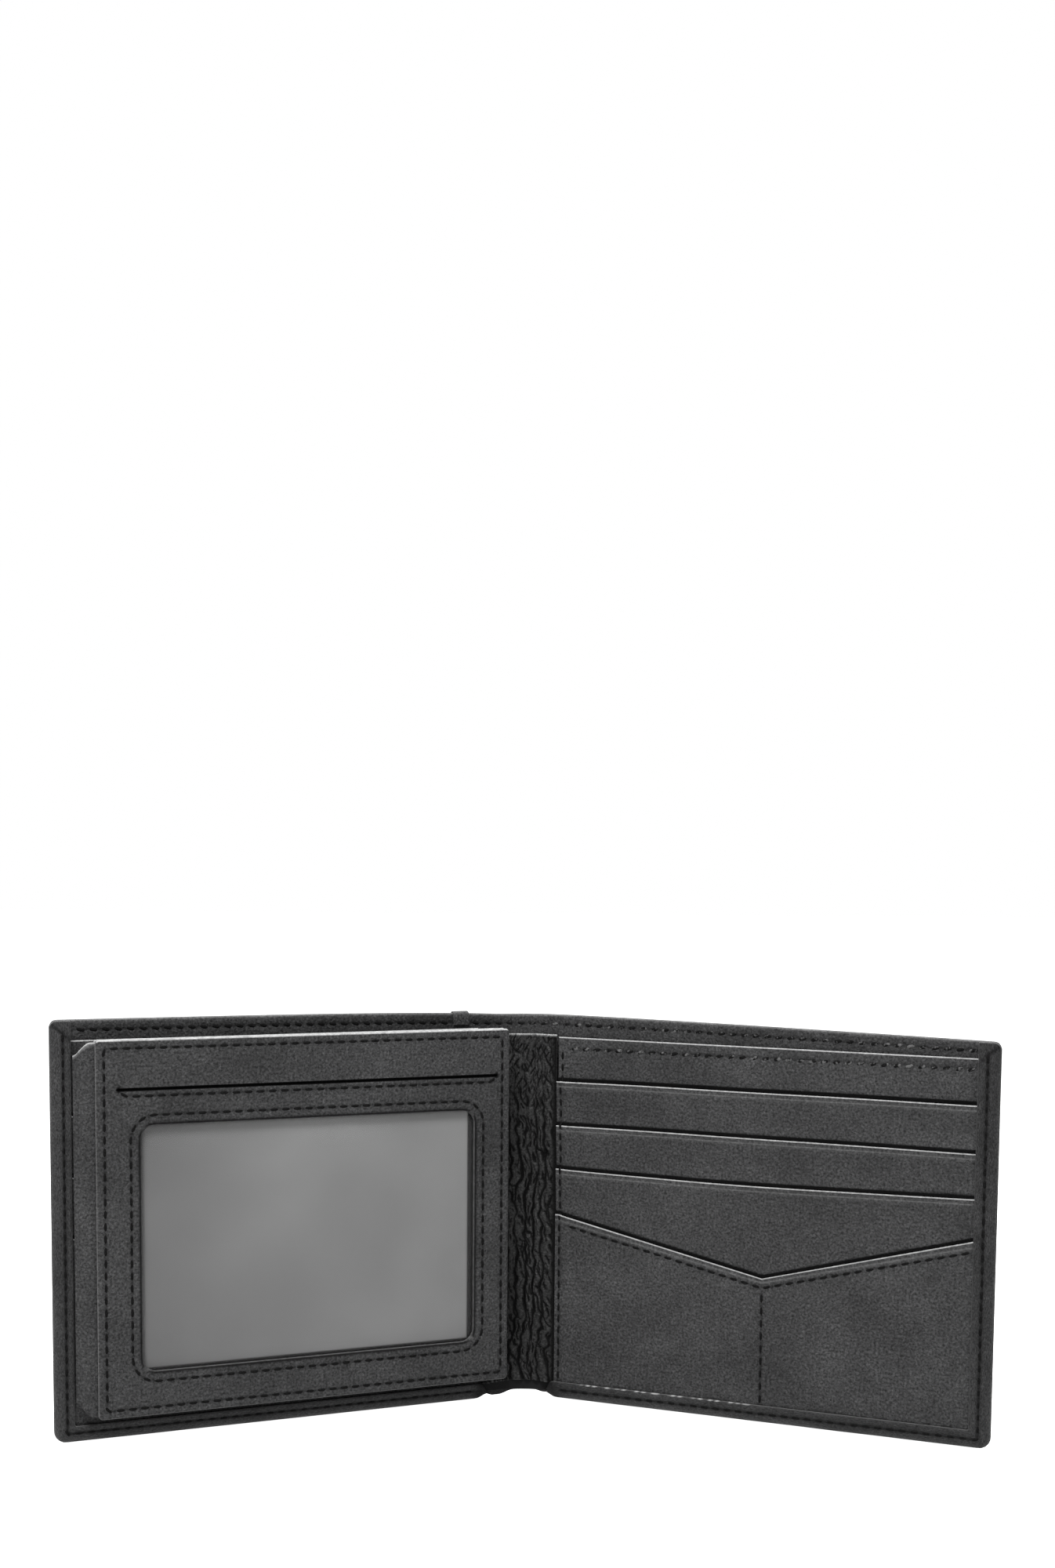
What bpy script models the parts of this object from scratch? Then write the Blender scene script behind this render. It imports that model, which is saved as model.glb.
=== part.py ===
"""A leather trifold wallet, standing open: two leaves on a spine and an ID flap inside the left leaf.

Each leaf has coordinates of its own: u runs from the spine crease to the leaf's outer edge, v runs up,
and w runs inwards from the outer cover, through the layers, to the face that the owner sees.
"""

import math
from collections import namedtuple

import bmesh
import bpy
from mathutils import Vector

MM = 0.001

# Driving dimensions
HEIGHT = 89 * MM
LEAF_LENGTH = 99.3 * MM
SPINE_WIDTH = 17 * MM
SPINE_BULGE = 2.2 * MM
REST_ANGLE = math.radians(23.55)
CREASE_AXIS = (-1.0 * MM, 1.5 * MM)  # (u, w) of the line that each leaf turns about
FLAP_AXIS = (96.4 * MM, 5.2 * MM)  # (u, w) of the line that the flap turns about
CREASE_GAP = 0.3 * MM
SPINE_END = 0.5 * MM  # how far the spine's leather stops short of each crease

# Outer shell
SHELL_THICKNESS = 1.0 * MM
HEM_THICKNESS = 1.6 * MM
HEM_HEIGHT = 10 * MM
BORDER_WIDTH = 4.0 * MM
BORDER_BACK = 4.1 * MM
BORDER_FRONT = 4.7 * MM
OUTER_CORNER = 2.5 * MM
TOP_CORNER = 1.5 * MM
INNER_CORNER = 1.2 * MM

# Layers between the shell and its border
LINING_LAYER = (1.1 * MM, 1.3 * MM)
WALL_LINING_LAYER = (1.85 * MM, 2.1 * MM)
PANEL_LAYER = (2.2 * MM, 2.6 * MM)
SLOT_LINING_BACK = 2.68 * MM
SLOT_LINING_THICKNESS = 0.1 * MM
SLOT_LINING_STEP = 0.13 * MM
POCKET_THICKNESS = 0.4 * MM
POCKET_FRONT = 4.0 * MM
POCKET_LEAN = 0.5 * MM  # how far a pocket's lower part lies behind its mouth
POCKET_LEAN_HEIGHT = 8 * MM
POCKET_OVERLAP = 1.0 * MM
SEAM_ALLOWANCE = 1.5 * MM
LAYER_GAP = 0.3 * MM

# Right leaf
RIGHT_START = 0.3 * MM
RIGHT_PANEL_TOP = 84 * MM
RIGHT_MOUTHS = (73.7 * MM, 64.1 * MM, 53.9 * MM)
V_POCKET_MOUTH = ((1.3 * MM, 43.1 * MM), (49.3 * MM, 32.7 * MM), (95.4 * MM, 44.8 * MM))
V_POCKET_TUCK = 3.7 * MM  # how far the last card pocket reaches below the V's lowest point

# Left leaf
LEFT_START = 3.5 * MM
LEFT_PANEL_TOP = 86 * MM
LEFT_MOUTHS = (70 * MM, 57 * MM, 44 * MM)
TAB_SPAN = (4.2 * MM, 8.2 * MM)
TAB_THICKNESS = 0.35 * MM
TAB_REACH = 2.6 * MM

# ID flap
FLAP_SIDES = (-1.34 * MM, 92.2 * MM)
FLAP_RISE = (5.8 * MM, 86.2 * MM)
FLAP_FRONT_LAYER = (7.8 * MM, 8.7 * MM)
FRONT_FILM_LAYER = (7.44 * MM, 7.58 * MM)
DIVIDER_LAYER = (7.08 * MM, 7.26 * MM)
BACK_FILM_LAYER = (6.78 * MM, 6.92 * MM)
FLAP_BACK_LAYER = (5.9 * MM, 6.7 * MM)
FLAP_CORNER = 1.0 * MM
WINDOW_SIDES = (7.2 * MM, 82.7 * MM)
WINDOW_RISE = (15.4 * MM, 68.0 * MM)
WINDOW_CORNER = 3.0 * MM
FILM_MARGIN = 1.7 * MM
SLIT_SIDES = (1.9 * MM, 87.4 * MM)
SLIT_HEIGHT = 75.7 * MM
SLIT_WIDTH = 0.7 * MM
SLIT_ROUNDING = 0.95  # of half its width, so that its ends keep a short straight edge
STRIP_PATH = ((88.3 * MM, 7.25 * MM), (92.8 * MM, 7.25 * MM), (94.9 * MM, 4.9 * MM))
STRIP_THICKNESS = 0.5 * MM
STRIP_TAPER = 2.5 * MM
STRIP_INSET = 0.6 * MM

# Threads
THREAD_WIDTH = 0.45 * MM
THREAD_HEIGHT = 0.2 * MM
THREAD_GAP = 0.05 * MM
BORDER_SEAM_INSET = 2.4 * MM
HEM_SEAM_DROP = 2.0 * MM
PANEL_SEAM_DROP = 2.6 * MM
SPINE_SEAM_INSET = 1.65 * MM
V_SEAM_DROP = 2.0 * MM
FLAP_SEAM_INSET = 1.8 * MM
WINDOW_SEAM_OFFSET = 2.2 * MM
SLIT_SEAM_DROP = 1.4 * MM

# Spine gusset
GUSSET_RISE = (3.6 * MM, 84.5 * MM)
GUSSET_THICKNESS = 0.5 * MM
GUSSET_ENDS = ((-10.0 * MM, -3.6 * MM), (7.0 * MM, -2.4 * MM))
GUSSET_MIDDLE = 0.1 * MM
GUSSET_STEPS = 6

ARC_STEPS = 5
SPINE_STEPS = 10

Leaf = namedtuple("Leaf", "side empty axis")


def clear_scene():
    for obj in list(bpy.data.objects):
        bpy.data.objects.remove(obj)


def make_material(name, colour, roughness, alpha=1.0):
    material = bpy.data.materials.new(name)
    material.use_nodes = True
    shader = material.node_tree.nodes["Principled BSDF"]
    shader.inputs["Base Color"].default_value = (*colour, 1.0)
    shader.inputs["Roughness"].default_value = roughness
    shader.inputs["Metallic"].default_value = 0.0
    shader.inputs["Alpha"].default_value = alpha
    return material


def make_materials():
    return {
        "shell": make_material("shell_leather", (0.050, 0.050, 0.051), 0.55),
        "pocket": make_material("pocket_leather", (0.062, 0.062, 0.063), 0.5),
        "gusset": make_material("gusset_leather", (0.022, 0.022, 0.023), 0.45),
        "lining": make_material("lining_fabric", (0.030, 0.030, 0.032), 0.85),
        "divider": make_material("divider_fabric", (0.21, 0.21, 0.21), 0.8),
        "film": make_material("window_film", (0.8, 0.8, 0.8), 0.15, alpha=0.25),
        "thread": make_material("thread", (0.012, 0.012, 0.013), 0.6),
    }


def make_empty(name, parent, location, turn=0.0):
    empty = bpy.data.objects.new(name, None)
    bpy.context.scene.collection.objects.link(empty)
    empty.parent = parent
    empty.location = location
    empty.rotation_euler = (0.0, 0.0, turn)
    return empty


def in_leaf(leaf, u, v, w):
    """A leaf point in the coordinates of the empty that its body turns with."""
    return Vector((leaf.side * (u - leaf.axis[0]), leaf.axis[1] - w, v))


def add_object(name, bm, parent, material):
    bmesh.ops.recalc_face_normals(bm, faces=bm.faces)
    mesh = bpy.data.meshes.new(name)
    bm.to_mesh(mesh)
    bm.free()
    obj = bpy.data.objects.new(name, mesh)
    bpy.context.scene.collection.objects.link(obj)
    obj.parent = parent
    if material is not None:
        mesh.materials.append(material)
    return obj


def prism(loops, offset):
    """A closed solid: a flat outline, with the holes that follow it in loops, pushed along offset."""
    bm = bmesh.new()
    for loop in loops:
        verts = [bm.verts.new(point) for point in loop]
        for a, b in zip(verts, verts[1:] + verts[:1]):
            bm.edges.new((a, b))
    bmesh.ops.triangle_fill(bm, use_beauty=True, edges=bm.edges[:])
    pushed = bmesh.ops.extrude_face_region(bm, geom=bm.faces[:])["geom"]
    moved = [item for item in pushed if isinstance(item, bmesh.types.BMVert)]
    bmesh.ops.translate(bm, verts=moved, vec=offset)
    return bm


def plate(name, leaf, outline, layer, material, holes=()):
    """A flat layer of a leaf: its (u, v) outline between the two w values of its layer."""
    back, front = layer
    loops = [[in_leaf(leaf, u, v, back) for u, v in loop] for loop in (outline, *holes)]
    return add_object(name, prism(loops, Vector((0, back - front, 0))), leaf.empty, material)


def bar(name, leaf, profile, span, material):
    """A (v, w) profile pushed along u."""
    start, end = span
    loop = [in_leaf(leaf, start, v, w) for v, w in profile]
    push = Vector((leaf.side * (end - start), 0, 0))
    return add_object(name, prism([loop], push), leaf.empty, material)


def rounded(sides, rise, corners):
    """A rectangle's outline with four corner radii, from the low-u low-v corner anticlockwise."""
    (u0, u1), (v0, v1) = sides, rise
    centres = ((u0, v0, 1, 1), (u1, v0, -1, 1), (u1, v1, -1, -1), (u0, v1, 1, -1))
    outline = []
    for number, ((u, v, du, dv), radius) in enumerate(zip(centres, corners)):
        if radius == 0:
            outline.append((u, v))
            continue
        for step in range(ARC_STEPS + 1):
            angle = math.pi + math.pi / 2 * (number + step / ARC_STEPS)
            outline.append(
                (u + du * radius + radius * math.cos(angle), v + dv * radius + radius * math.sin(angle))
            )
    return outline


def rectangle(sides, rise):
    return rounded(sides, rise, (0, 0, 0, 0))


def grown(span, margin):
    return (span[0] - margin, span[1] + margin)


def band(path, width):
    """The outline of an open path drawn with a square pen, with mitred bends."""
    points = [Vector(point) for point in path]
    sides = ([], [])
    for i, point in enumerate(points):
        before = (point - points[i - 1]).normalized() if i else None
        after = (points[i + 1] - point).normalized() if i + 1 < len(points) else None
        before, after = before or after, after or before
        along = (before + after).normalized()
        across = Vector((-along.y, along.x))
        reach = width / 2 / along.dot(after)
        sides[0].append(tuple(point + across * reach))
        sides[1].append(tuple(point - across * reach))
    return sides[0] + sides[1][::-1]


def seam_layer(face):
    return (face + THREAD_GAP, face + THREAD_GAP + THREAD_HEIGHT)


def seam(name, leaf, path, face, material):
    """The thread along an open (u, v) path, lying on the leather whose face is at w = face."""
    return plate(name, leaf, band(path, THREAD_WIDTH), seam_layer(face), material)


def ring_seam(name, leaf, sides, rise, corner, layer, material):
    """The thread round a rounded rectangle."""
    half = THREAD_WIDTH / 2
    outer = rounded(grown(sides, half), grown(rise, half), [corner + half] * 4)
    inner = rounded(grown(sides, -half), grown(rise, -half), [corner - half] * 4)
    return plate(name, leaf, outer, layer, material, holes=[inner])


def cut(obj, cutter):
    cutter.hide_render = True
    cutter.display_type = "WIRE"
    modifier = obj.modifiers.new("cut_" + cutter.name, "BOOLEAN")
    modifier.operation = "DIFFERENCE"
    modifier.object = cutter


def shell_leaf(name, leaf, start, material):
    """The outer leather of one leaf, turned over at its side and bottom and hemmed at its top."""
    over = 2 * MM
    wall = LEAF_LENGTH - SHELL_THICKNESS
    shell = plate(
        name,
        leaf,
        rounded((CREASE_GAP, LEAF_LENGTH), (0, HEIGHT), (0, OUTER_CORNER, TOP_CORNER, 0)),
        (0, BORDER_FRONT),
        material,
    )
    inner_corners = (0, INNER_CORNER, 0, 0)
    hollow = rounded((-over, wall), (SHELL_THICKNESS, HEIGHT + over), inner_corners)
    recess = rounded((-over, wall), (SHELL_THICKNESS, HEIGHT - HEM_HEIGHT), inner_corners)
    mouth_rise = (BORDER_WIDTH, HEIGHT + over)
    mouth = rounded((start, LEAF_LENGTH - BORDER_WIDTH), mouth_rise, inner_corners)
    end = rectangle((-over, start), (-over, HEIGHT + over))
    cuts = {
        "hollow": (hollow, (HEM_THICKNESS, BORDER_BACK)),
        "recess": (recess, (SHELL_THICKNESS, HEM_THICKNESS + over / 2)),
        "mouth": (mouth, (HEM_THICKNESS + over / 2, BORDER_FRONT + over)),
        "end": (end, (HEM_THICKNESS, BORDER_FRONT + over)),
    }
    for part, (outline, layer) in cuts.items():
        cut(shell, plate(f"{name}_{part}_cutter", leaf, outline, layer, None))
    return shell


def leaf_linings(side, leaf, start, panel_top, material):
    """The two textile walls of the bill compartment."""
    sides = (start + LAYER_GAP, LEAF_LENGTH - SHELL_THICKNESS - LAYER_GAP)
    bottom = SHELL_THICKNESS + LAYER_GAP
    cover = rectangle(sides, (bottom, HEIGHT - HEM_HEIGHT - LAYER_GAP))
    wall = rectangle(sides, (bottom, panel_top - LAYER_GAP))
    plate(f"bill_lining_{side}", leaf, cover, LINING_LAYER, material)
    plate(f"bill_wall_lining_{side}", leaf, wall, WALL_LINING_LAYER, material)


def pocket_profile(mouth, bottom):
    """(v, w) outline of a pocket's leather: its mouth stands forward and its lower part lies back."""
    knee = mouth - POCKET_LEAN_HEIGHT
    low_front = POCKET_FRONT - POCKET_LEAN
    front = [(mouth, POCKET_FRONT), (knee, low_front), (bottom, low_front)]
    return front + [(v, w - POCKET_THICKNESS) for v, w in reversed(front)]


def card_pockets(side, leaf, start, mouths, last_bottom, materials):
    """Leather facings, each tucked behind the next, and the textile tongues that hold the cards."""
    span = (start + LAYER_GAP, LEAF_LENGTH - SEAM_ALLOWANCE)
    bottoms = [mouth - POCKET_OVERLAP for mouth in mouths[1:]] + [last_bottom]
    for number, (mouth, bottom) in enumerate(zip(mouths, bottoms), start=1):
        profile = pocket_profile(mouth, bottom)
        bar(f"card_pocket_{side}_{number}", leaf, profile, span, materials["pocket"])
        if bottom <= SEAM_ALLOWANCE:
            continue  # this facing reaches the bottom seam by itself
        back = SLOT_LINING_BACK + SLOT_LINING_STEP * (number - 1)
        tongue_top = bottom + 3 * POCKET_OVERLAP
        tongue_bottom = max(SEAM_ALLOWANCE, tongue_top - HEIGHT / 2)
        tongue = rectangle(span, (tongue_bottom, tongue_top))
        layer = (back, back + SLOT_LINING_THICKNESS)
        plate(f"slot_lining_{side}_{number}", leaf, tongue, layer, materials["lining"])


def border_seam(name, leaf, start, material):
    side = LEAF_LENGTH - BORDER_SEAM_INSET
    path = (
        (side, HEIGHT - BORDER_SEAM_INSET),
        (side, BORDER_SEAM_INSET),
        (start + SPINE_SEAM_INSET, BORDER_SEAM_INSET),
    )
    seam(name, leaf, path, BORDER_FRONT, material)


def hem_seam(name, leaf, start, material):
    end = LEAF_LENGTH - BORDER_WIDTH - LAYER_GAP
    height = HEIGHT - HEM_SEAM_DROP
    seam(name, leaf, ((start, height), (end, height)), HEM_THICKNESS, material)


def inner_panel(side, leaf, start, top, material):
    sides = (start + LAYER_GAP, LEAF_LENGTH - SEAM_ALLOWANCE)
    plate(f"panel_{side}", leaf, rectangle(sides, (SEAM_ALLOWANCE, top)), PANEL_LAYER, material)


def right_leaf(leaf, materials):
    shell_leaf("shell_right", leaf, RIGHT_START, materials["shell"])
    leaf_linings("right", leaf, RIGHT_START, RIGHT_PANEL_TOP, materials["lining"])
    inner_panel("right", leaf, RIGHT_START, RIGHT_PANEL_TOP, materials["pocket"])
    (left_u, left_v), (low_u, low_v), (right_u, right_v) = V_POCKET_MOUTH
    card_pockets("right", leaf, RIGHT_START, RIGHT_MOUTHS, low_v - V_POCKET_TUCK, materials)

    near, far = RIGHT_START + LAYER_GAP, LEAF_LENGTH - SEAM_ALLOWANCE
    foot = [(near, SEAM_ALLOWANCE), (far, SEAM_ALLOWANCE)]
    outline = [*foot, (far, right_v), *V_POCKET_MOUTH[::-1], (near, left_v)]
    layer = (POCKET_FRONT - POCKET_THICKNESS, POCKET_FRONT)
    plate("v_pocket_right", leaf, outline, layer, materials["pocket"])

    thread = materials["thread"]
    border_seam("thread_border_right", leaf, RIGHT_START, thread)
    hem_seam("thread_hem_right", leaf, RIGHT_START + LAYER_GAP, thread)
    far_seam = LEAF_LENGTH - BORDER_WIDTH - LAYER_GAP
    height = RIGHT_PANEL_TOP - PANEL_SEAM_DROP
    row = ((2 * SPINE_SEAM_INSET, height), (far_seam, height))
    seam("thread_panel_top_right", leaf, row, PANEL_LAYER[1], thread)
    column = ((SPINE_SEAM_INSET, height), (SPINE_SEAM_INSET, BORDER_WIDTH + LAYER_GAP))
    seam("thread_spine_side_right", leaf, column, POCKET_FRONT, thread)
    v_path = (
        (2 * SPINE_SEAM_INSET, left_v - V_SEAM_DROP),
        (low_u, low_v - V_SEAM_DROP),
        (far_seam, right_v - V_SEAM_DROP),
    )
    seam("thread_v_edge", leaf, v_path, POCKET_FRONT, thread)
    divider = ((low_u, low_v - V_SEAM_DROP - 2 * THREAD_WIDTH), (low_u, BORDER_WIDTH + LAYER_GAP))
    seam("thread_v_divider", leaf, divider, POCKET_FRONT, thread)


def top_fold_tab(leaf, material):
    """A small strap folded over the leaf's top edge beside the spine."""
    gap = 0.1 * MM
    foot = HEIGHT - TAB_REACH
    back, front = -gap, HEM_THICKNESS + gap
    top = HEIGHT + gap
    outer = [
        (foot, back - TAB_THICKNESS),
        (top + TAB_THICKNESS, back - TAB_THICKNESS),
        (top + TAB_THICKNESS, front + TAB_THICKNESS),
        (foot, front + TAB_THICKNESS),
    ]
    inner = [(foot, front), (top, front), (top, back), (foot, back)]
    bar("top_fold_tab", leaf, outer + inner, TAB_SPAN, material)


def left_leaf(leaf, materials):
    shell_leaf("shell_left", leaf, LEFT_START, materials["shell"])
    leaf_linings("left", leaf, LEFT_START, LEFT_PANEL_TOP, materials["lining"])
    inner_panel("left", leaf, LEFT_START, LEFT_PANEL_TOP, materials["pocket"])
    card_pockets("left", leaf, LEFT_START, LEFT_MOUTHS, SEAM_ALLOWANCE, materials)
    top_fold_tab(leaf, materials["shell"])
    border_seam("thread_border_left", leaf, LEFT_START, materials["thread"])
    hem_seam("thread_hem_left", leaf, TAB_SPAN[1] + LAYER_GAP, materials["thread"])


def hinge_strip(leaf, material):
    """The leather that bends where the flap turns: from inside the flap down to the leaf's border."""
    rise = grown(FLAP_RISE, -STRIP_INSET)
    loop = [in_leaf(leaf, u, rise[0], w) for u, w in band(STRIP_PATH, STRIP_THICKNESS)]
    bm = prism([loop], Vector((0, 0, rise[1] - rise[0])))
    bend = in_leaf(leaf, STRIP_PATH[1][0] + STRIP_THICKNESS, 0, 0).x * leaf.side
    middle = sum(rise) / 2
    for vert in bm.verts:
        if vert.co.x * leaf.side > bend:
            vert.co.z += math.copysign(STRIP_TAPER, middle - vert.co.z)
    add_object("flap_hinge_strip", bm, leaf.empty, material)


def id_flap(leaf, materials):
    outline = rounded(FLAP_SIDES, FLAP_RISE, [FLAP_CORNER] * 4)
    window = rounded(WINDOW_SIDES, WINDOW_RISE, [WINDOW_CORNER] * 4)
    half_slit = SLIT_WIDTH / 2
    slit_rise = (SLIT_HEIGHT - half_slit, SLIT_HEIGHT + half_slit)
    slit = rounded(SLIT_SIDES, slit_rise, [half_slit * SLIT_ROUNDING] * 4)
    plate("flap_front", leaf, outline, FLAP_FRONT_LAYER, materials["pocket"], holes=[window, slit])
    plate("flap_back", leaf, outline, FLAP_BACK_LAYER, materials["pocket"], holes=[window])

    film = rectangle(grown(WINDOW_SIDES, FILM_MARGIN), grown(WINDOW_RISE, FILM_MARGIN))
    plate("window_film_front", leaf, film, FRONT_FILM_LAYER, materials["film"])
    plate("window_film_back", leaf, film, BACK_FILM_LAYER, materials["film"])
    divider_sides = (FLAP_SIDES[0] + SEAM_ALLOWANCE, STRIP_PATH[0][0] - LAYER_GAP)
    divider = rectangle(divider_sides, grown(FLAP_RISE, -SEAM_ALLOWANCE))
    plate("id_divider", leaf, divider, DIVIDER_LAYER, materials["divider"])
    hinge_strip(leaf, materials["pocket"])

    thread = materials["thread"]
    front_face = seam_layer(FLAP_FRONT_LAYER[1])
    back_face = (FLAP_BACK_LAYER[0] - THREAD_GAP - THREAD_HEIGHT, FLAP_BACK_LAYER[0] - THREAD_GAP)
    edge = (grown(FLAP_SIDES, -FLAP_SEAM_INSET), grown(FLAP_RISE, -FLAP_SEAM_INSET))
    round_window = (grown(WINDOW_SIDES, WINDOW_SEAM_OFFSET), grown(WINDOW_RISE, WINDOW_SEAM_OFFSET))
    corner = WINDOW_CORNER + WINDOW_SEAM_OFFSET
    ring_seam("thread_flap_edge", leaf, *edge, FLAP_CORNER, front_face, thread)
    ring_seam("thread_window_front", leaf, *round_window, corner, front_face, thread)
    ring_seam("thread_window_back", leaf, *round_window, corner, back_face, thread)
    height = SLIT_HEIGHT - SLIT_SEAM_DROP
    seam_sides = grown(SLIT_SIDES, -SLIT_SEAM_DROP)
    path = ((seam_sides[0], height), (seam_sides[1], height))
    seam("thread_slit", leaf, path, FLAP_FRONT_LAYER[1], thread)


def spine_arc(depth, half_width):
    """Plan view of the spine's curve, depth inside its outer face, from left to right."""
    half = SPINE_WIDTH / 2
    radius = (half**2 + SPINE_BULGE**2) / (2 * SPINE_BULGE)
    centre = SPINE_BULGE - radius
    reach = math.asin(half_width / radius)
    angles = [reach * (2 * step / SPINE_STEPS - 1) for step in range(SPINE_STEPS + 1)]
    inner = radius - depth
    return [(inner * math.sin(angle), centre + inner * math.cos(angle)) for angle in angles]


def spine_sheet(name, parent, layer, rise, half_width, material):
    outline = spine_arc(layer[0], half_width) + spine_arc(layer[1], half_width)[::-1]
    loop = [Vector((x, y, rise[0])) for x, y in outline]
    return add_object(name, prism([loop], Vector((0, 0, rise[1] - rise[0]))), parent, material)


def spine_gusset(parent, material):
    """The soft leather between the two inner walls, slack towards the spine."""
    path = []
    step_runs = (range(GUSSET_STEPS, 0, -1), range(GUSSET_STEPS + 1))
    for (x_end, y_end), steps in zip(GUSSET_ENDS, step_runs):
        for step in steps:
            share = step / GUSSET_STEPS
            fall = (1 - math.cos(math.pi * share)) / 2
            path.append((x_end * share, GUSSET_MIDDLE + (y_end - GUSSET_MIDDLE) * fall))
    loop = [Vector((x, y, GUSSET_RISE[0])) for x, y in band(path, GUSSET_THICKNESS)]
    bm = prism([loop], Vector((0, 0, GUSSET_RISE[1] - GUSSET_RISE[0])))
    add_object("spine_gusset", bm, parent, material)


def spine(parent, materials):
    half = SPINE_WIDTH / 2 - SPINE_END
    over = 2 * MM
    shell = spine_sheet("shell_spine", parent, (0, HEM_THICKNESS), (0, HEIGHT), half, materials["shell"])
    below_hem = (-over, HEIGHT - HEM_HEIGHT)
    cutter_layer = (SHELL_THICKNESS, HEM_THICKNESS + over / 2)
    cut(shell, spine_sheet("shell_spine_cutter", parent, cutter_layer, below_hem, half + over / 2, None))
    rise = (SHELL_THICKNESS + LAYER_GAP, HEIGHT - HEM_HEIGHT - LAYER_GAP)
    spine_sheet("bill_lining_spine", parent, LINING_LAYER, rise, half - LAYER_GAP, materials["lining"])
    spine_gusset(parent, materials["gusset"])


def crease_empty(name, parent, side):
    """The line that one leaf turns about, with its X axis along the leaf."""
    sine, cosine = math.sin(REST_ANGLE), math.cos(REST_ANGLE)
    u, w = CREASE_AXIS
    place = (side * (SPINE_WIDTH / 2 + cosine * u - sine * w), -sine * u - cosine * w, 0)
    return make_empty(name, parent, place, turn=-side * REST_ANGLE)


def build():
    clear_scene()
    materials = make_materials()
    front = math.sin(REST_ANGLE) * FLAP_SIDES[1] + math.cos(REST_ANGLE) * FLAP_FRONT_LAYER[1]
    wallet = make_empty("wallet", None, (0, (front - SPINE_BULGE) / 2, 0))
    left = Leaf(-1, crease_empty("left_crease", wallet, -1), CREASE_AXIS)
    right = Leaf(1, crease_empty("right_crease", wallet, 1), CREASE_AXIS)
    flap_empty = make_empty("flap_crease", left.empty, in_leaf(left, FLAP_AXIS[0], 0, FLAP_AXIS[1]))
    spine(wallet, materials)
    left_leaf(left, materials)
    right_leaf(right, materials)
    id_flap(Leaf(-1, flap_empty, FLAP_AXIS), materials)


build()
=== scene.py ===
"""The looks of the leather trifold wallet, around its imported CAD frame.

Lengths are in millimetres until a mesh is made. As in the CAD, a leaf has its own coordinates: u from
the crease to the leaf's outer edge, v up, and w from the outer cover inwards. A negative u is on the spine.
"""

import math

import bpy
import numpy as np
from mathutils import Matrix, Vector


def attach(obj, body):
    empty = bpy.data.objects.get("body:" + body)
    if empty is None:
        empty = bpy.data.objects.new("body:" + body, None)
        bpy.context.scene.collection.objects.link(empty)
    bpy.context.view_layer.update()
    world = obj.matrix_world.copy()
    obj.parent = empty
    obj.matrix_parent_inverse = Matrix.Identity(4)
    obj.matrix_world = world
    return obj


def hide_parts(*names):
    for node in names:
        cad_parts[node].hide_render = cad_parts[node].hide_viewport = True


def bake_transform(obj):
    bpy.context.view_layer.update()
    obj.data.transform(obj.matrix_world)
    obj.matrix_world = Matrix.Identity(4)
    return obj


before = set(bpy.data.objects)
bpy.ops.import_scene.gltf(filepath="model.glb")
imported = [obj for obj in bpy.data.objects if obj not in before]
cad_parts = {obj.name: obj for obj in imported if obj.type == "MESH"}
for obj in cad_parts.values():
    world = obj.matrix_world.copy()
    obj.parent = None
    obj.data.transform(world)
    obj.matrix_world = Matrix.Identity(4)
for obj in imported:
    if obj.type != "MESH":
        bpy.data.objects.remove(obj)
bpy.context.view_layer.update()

MM = 0.001
LEFT, RIGHT = -1, 1
BODY = {LEFT: "left_leaf", RIGHT: "right_leaf"}
WORD = {LEFT: "left", RIGHT: "right"}

# The CAD's driving dimensions
HEIGHT = 89.0
LEAF = 99.3
HALF_SPINE = 8.5
BULGE = 2.2
REST = math.radians(23.55)
CREASE_Y = 21.307  # of the crease line in the row frame
SINE, COSINE = math.sin(REST), math.cos(REST)
SPINE_RADIUS = (HALF_SPINE**2 + BULGE**2) / (2 * BULGE)
SPINE_ARC = SPINE_RADIUS * math.asin(HALF_SPINE / SPINE_RADIUS)
HEM_HEIGHT = 10.0
BORDER = 4.0
START = {LEFT: 3.5, RIGHT: -0.45}
PANEL_TOP = {LEFT: 86.0, RIGHT: 84.0}
MOUTHS = {LEFT: (70.0, 57.0, 44.0), RIGHT: (73.7, 64.1, 53.9)}
OVERHANG = {LEFT: 1.05, RIGHT: 0.5}  # how far the soft turned edge bulges past the CAD's outer edge
LIP_STRETCH = {LEFT: 1.0, RIGHT: 1.1}
V_MOUTH = ((0.6, 43.3), (49.3, 32.7), (97.8, 45.4))
FLAP_U = (-1.34, 92.2)
FLAP_V = (5.8, 86.2)
WINDOW_U = (7.2, 82.7)
WINDOW_V = (15.4, 68.0)
WINDOW_CORNER = 3.0
SLIT_U = (1.9, 87.4)
SLIT_V = 75.7
SEAM_END = LEAF - BORDER - 0.3  # of the seams that run out to the border
HEM_SEAM, BORDER_SEAM = 2.2, 2.4  # from the leaf's edge to the seam
TOP_SEAM, COLUMN = 2.6, 1.35  # from a panel's top, and from a layer's spine side, to its seam
LAYER_EDGE = 1.8  # of the panels and pockets, from the leaf's foot and from its outer edge
PITCH = 2.6  # of the stitches
STEP = 0.65  # at most, from one line of a leather mesh to the next


# ---------------------------------------------------------------- numbers

def smooth(x, start, end):
    t = np.clip((x - start) / (end - start), 0.0, 1.0)
    return t * t * (3 - 2 * t)


def ripple(u, v, size, seed):
    """Smooth unevenness between about -1 and 1, size mm from one bump to the next."""
    rng = np.random.default_rng(seed)
    total = 0.0
    for _ in range(6):
        angle, phase = rng.uniform(0, 2 * math.pi, 2)
        wave = 2 * math.pi / (size * rng.uniform(0.7, 1.5))
        total = total + np.sin((u * math.cos(angle) + v * math.sin(angle)) * wave + phase)
    return total / 3.5


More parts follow.
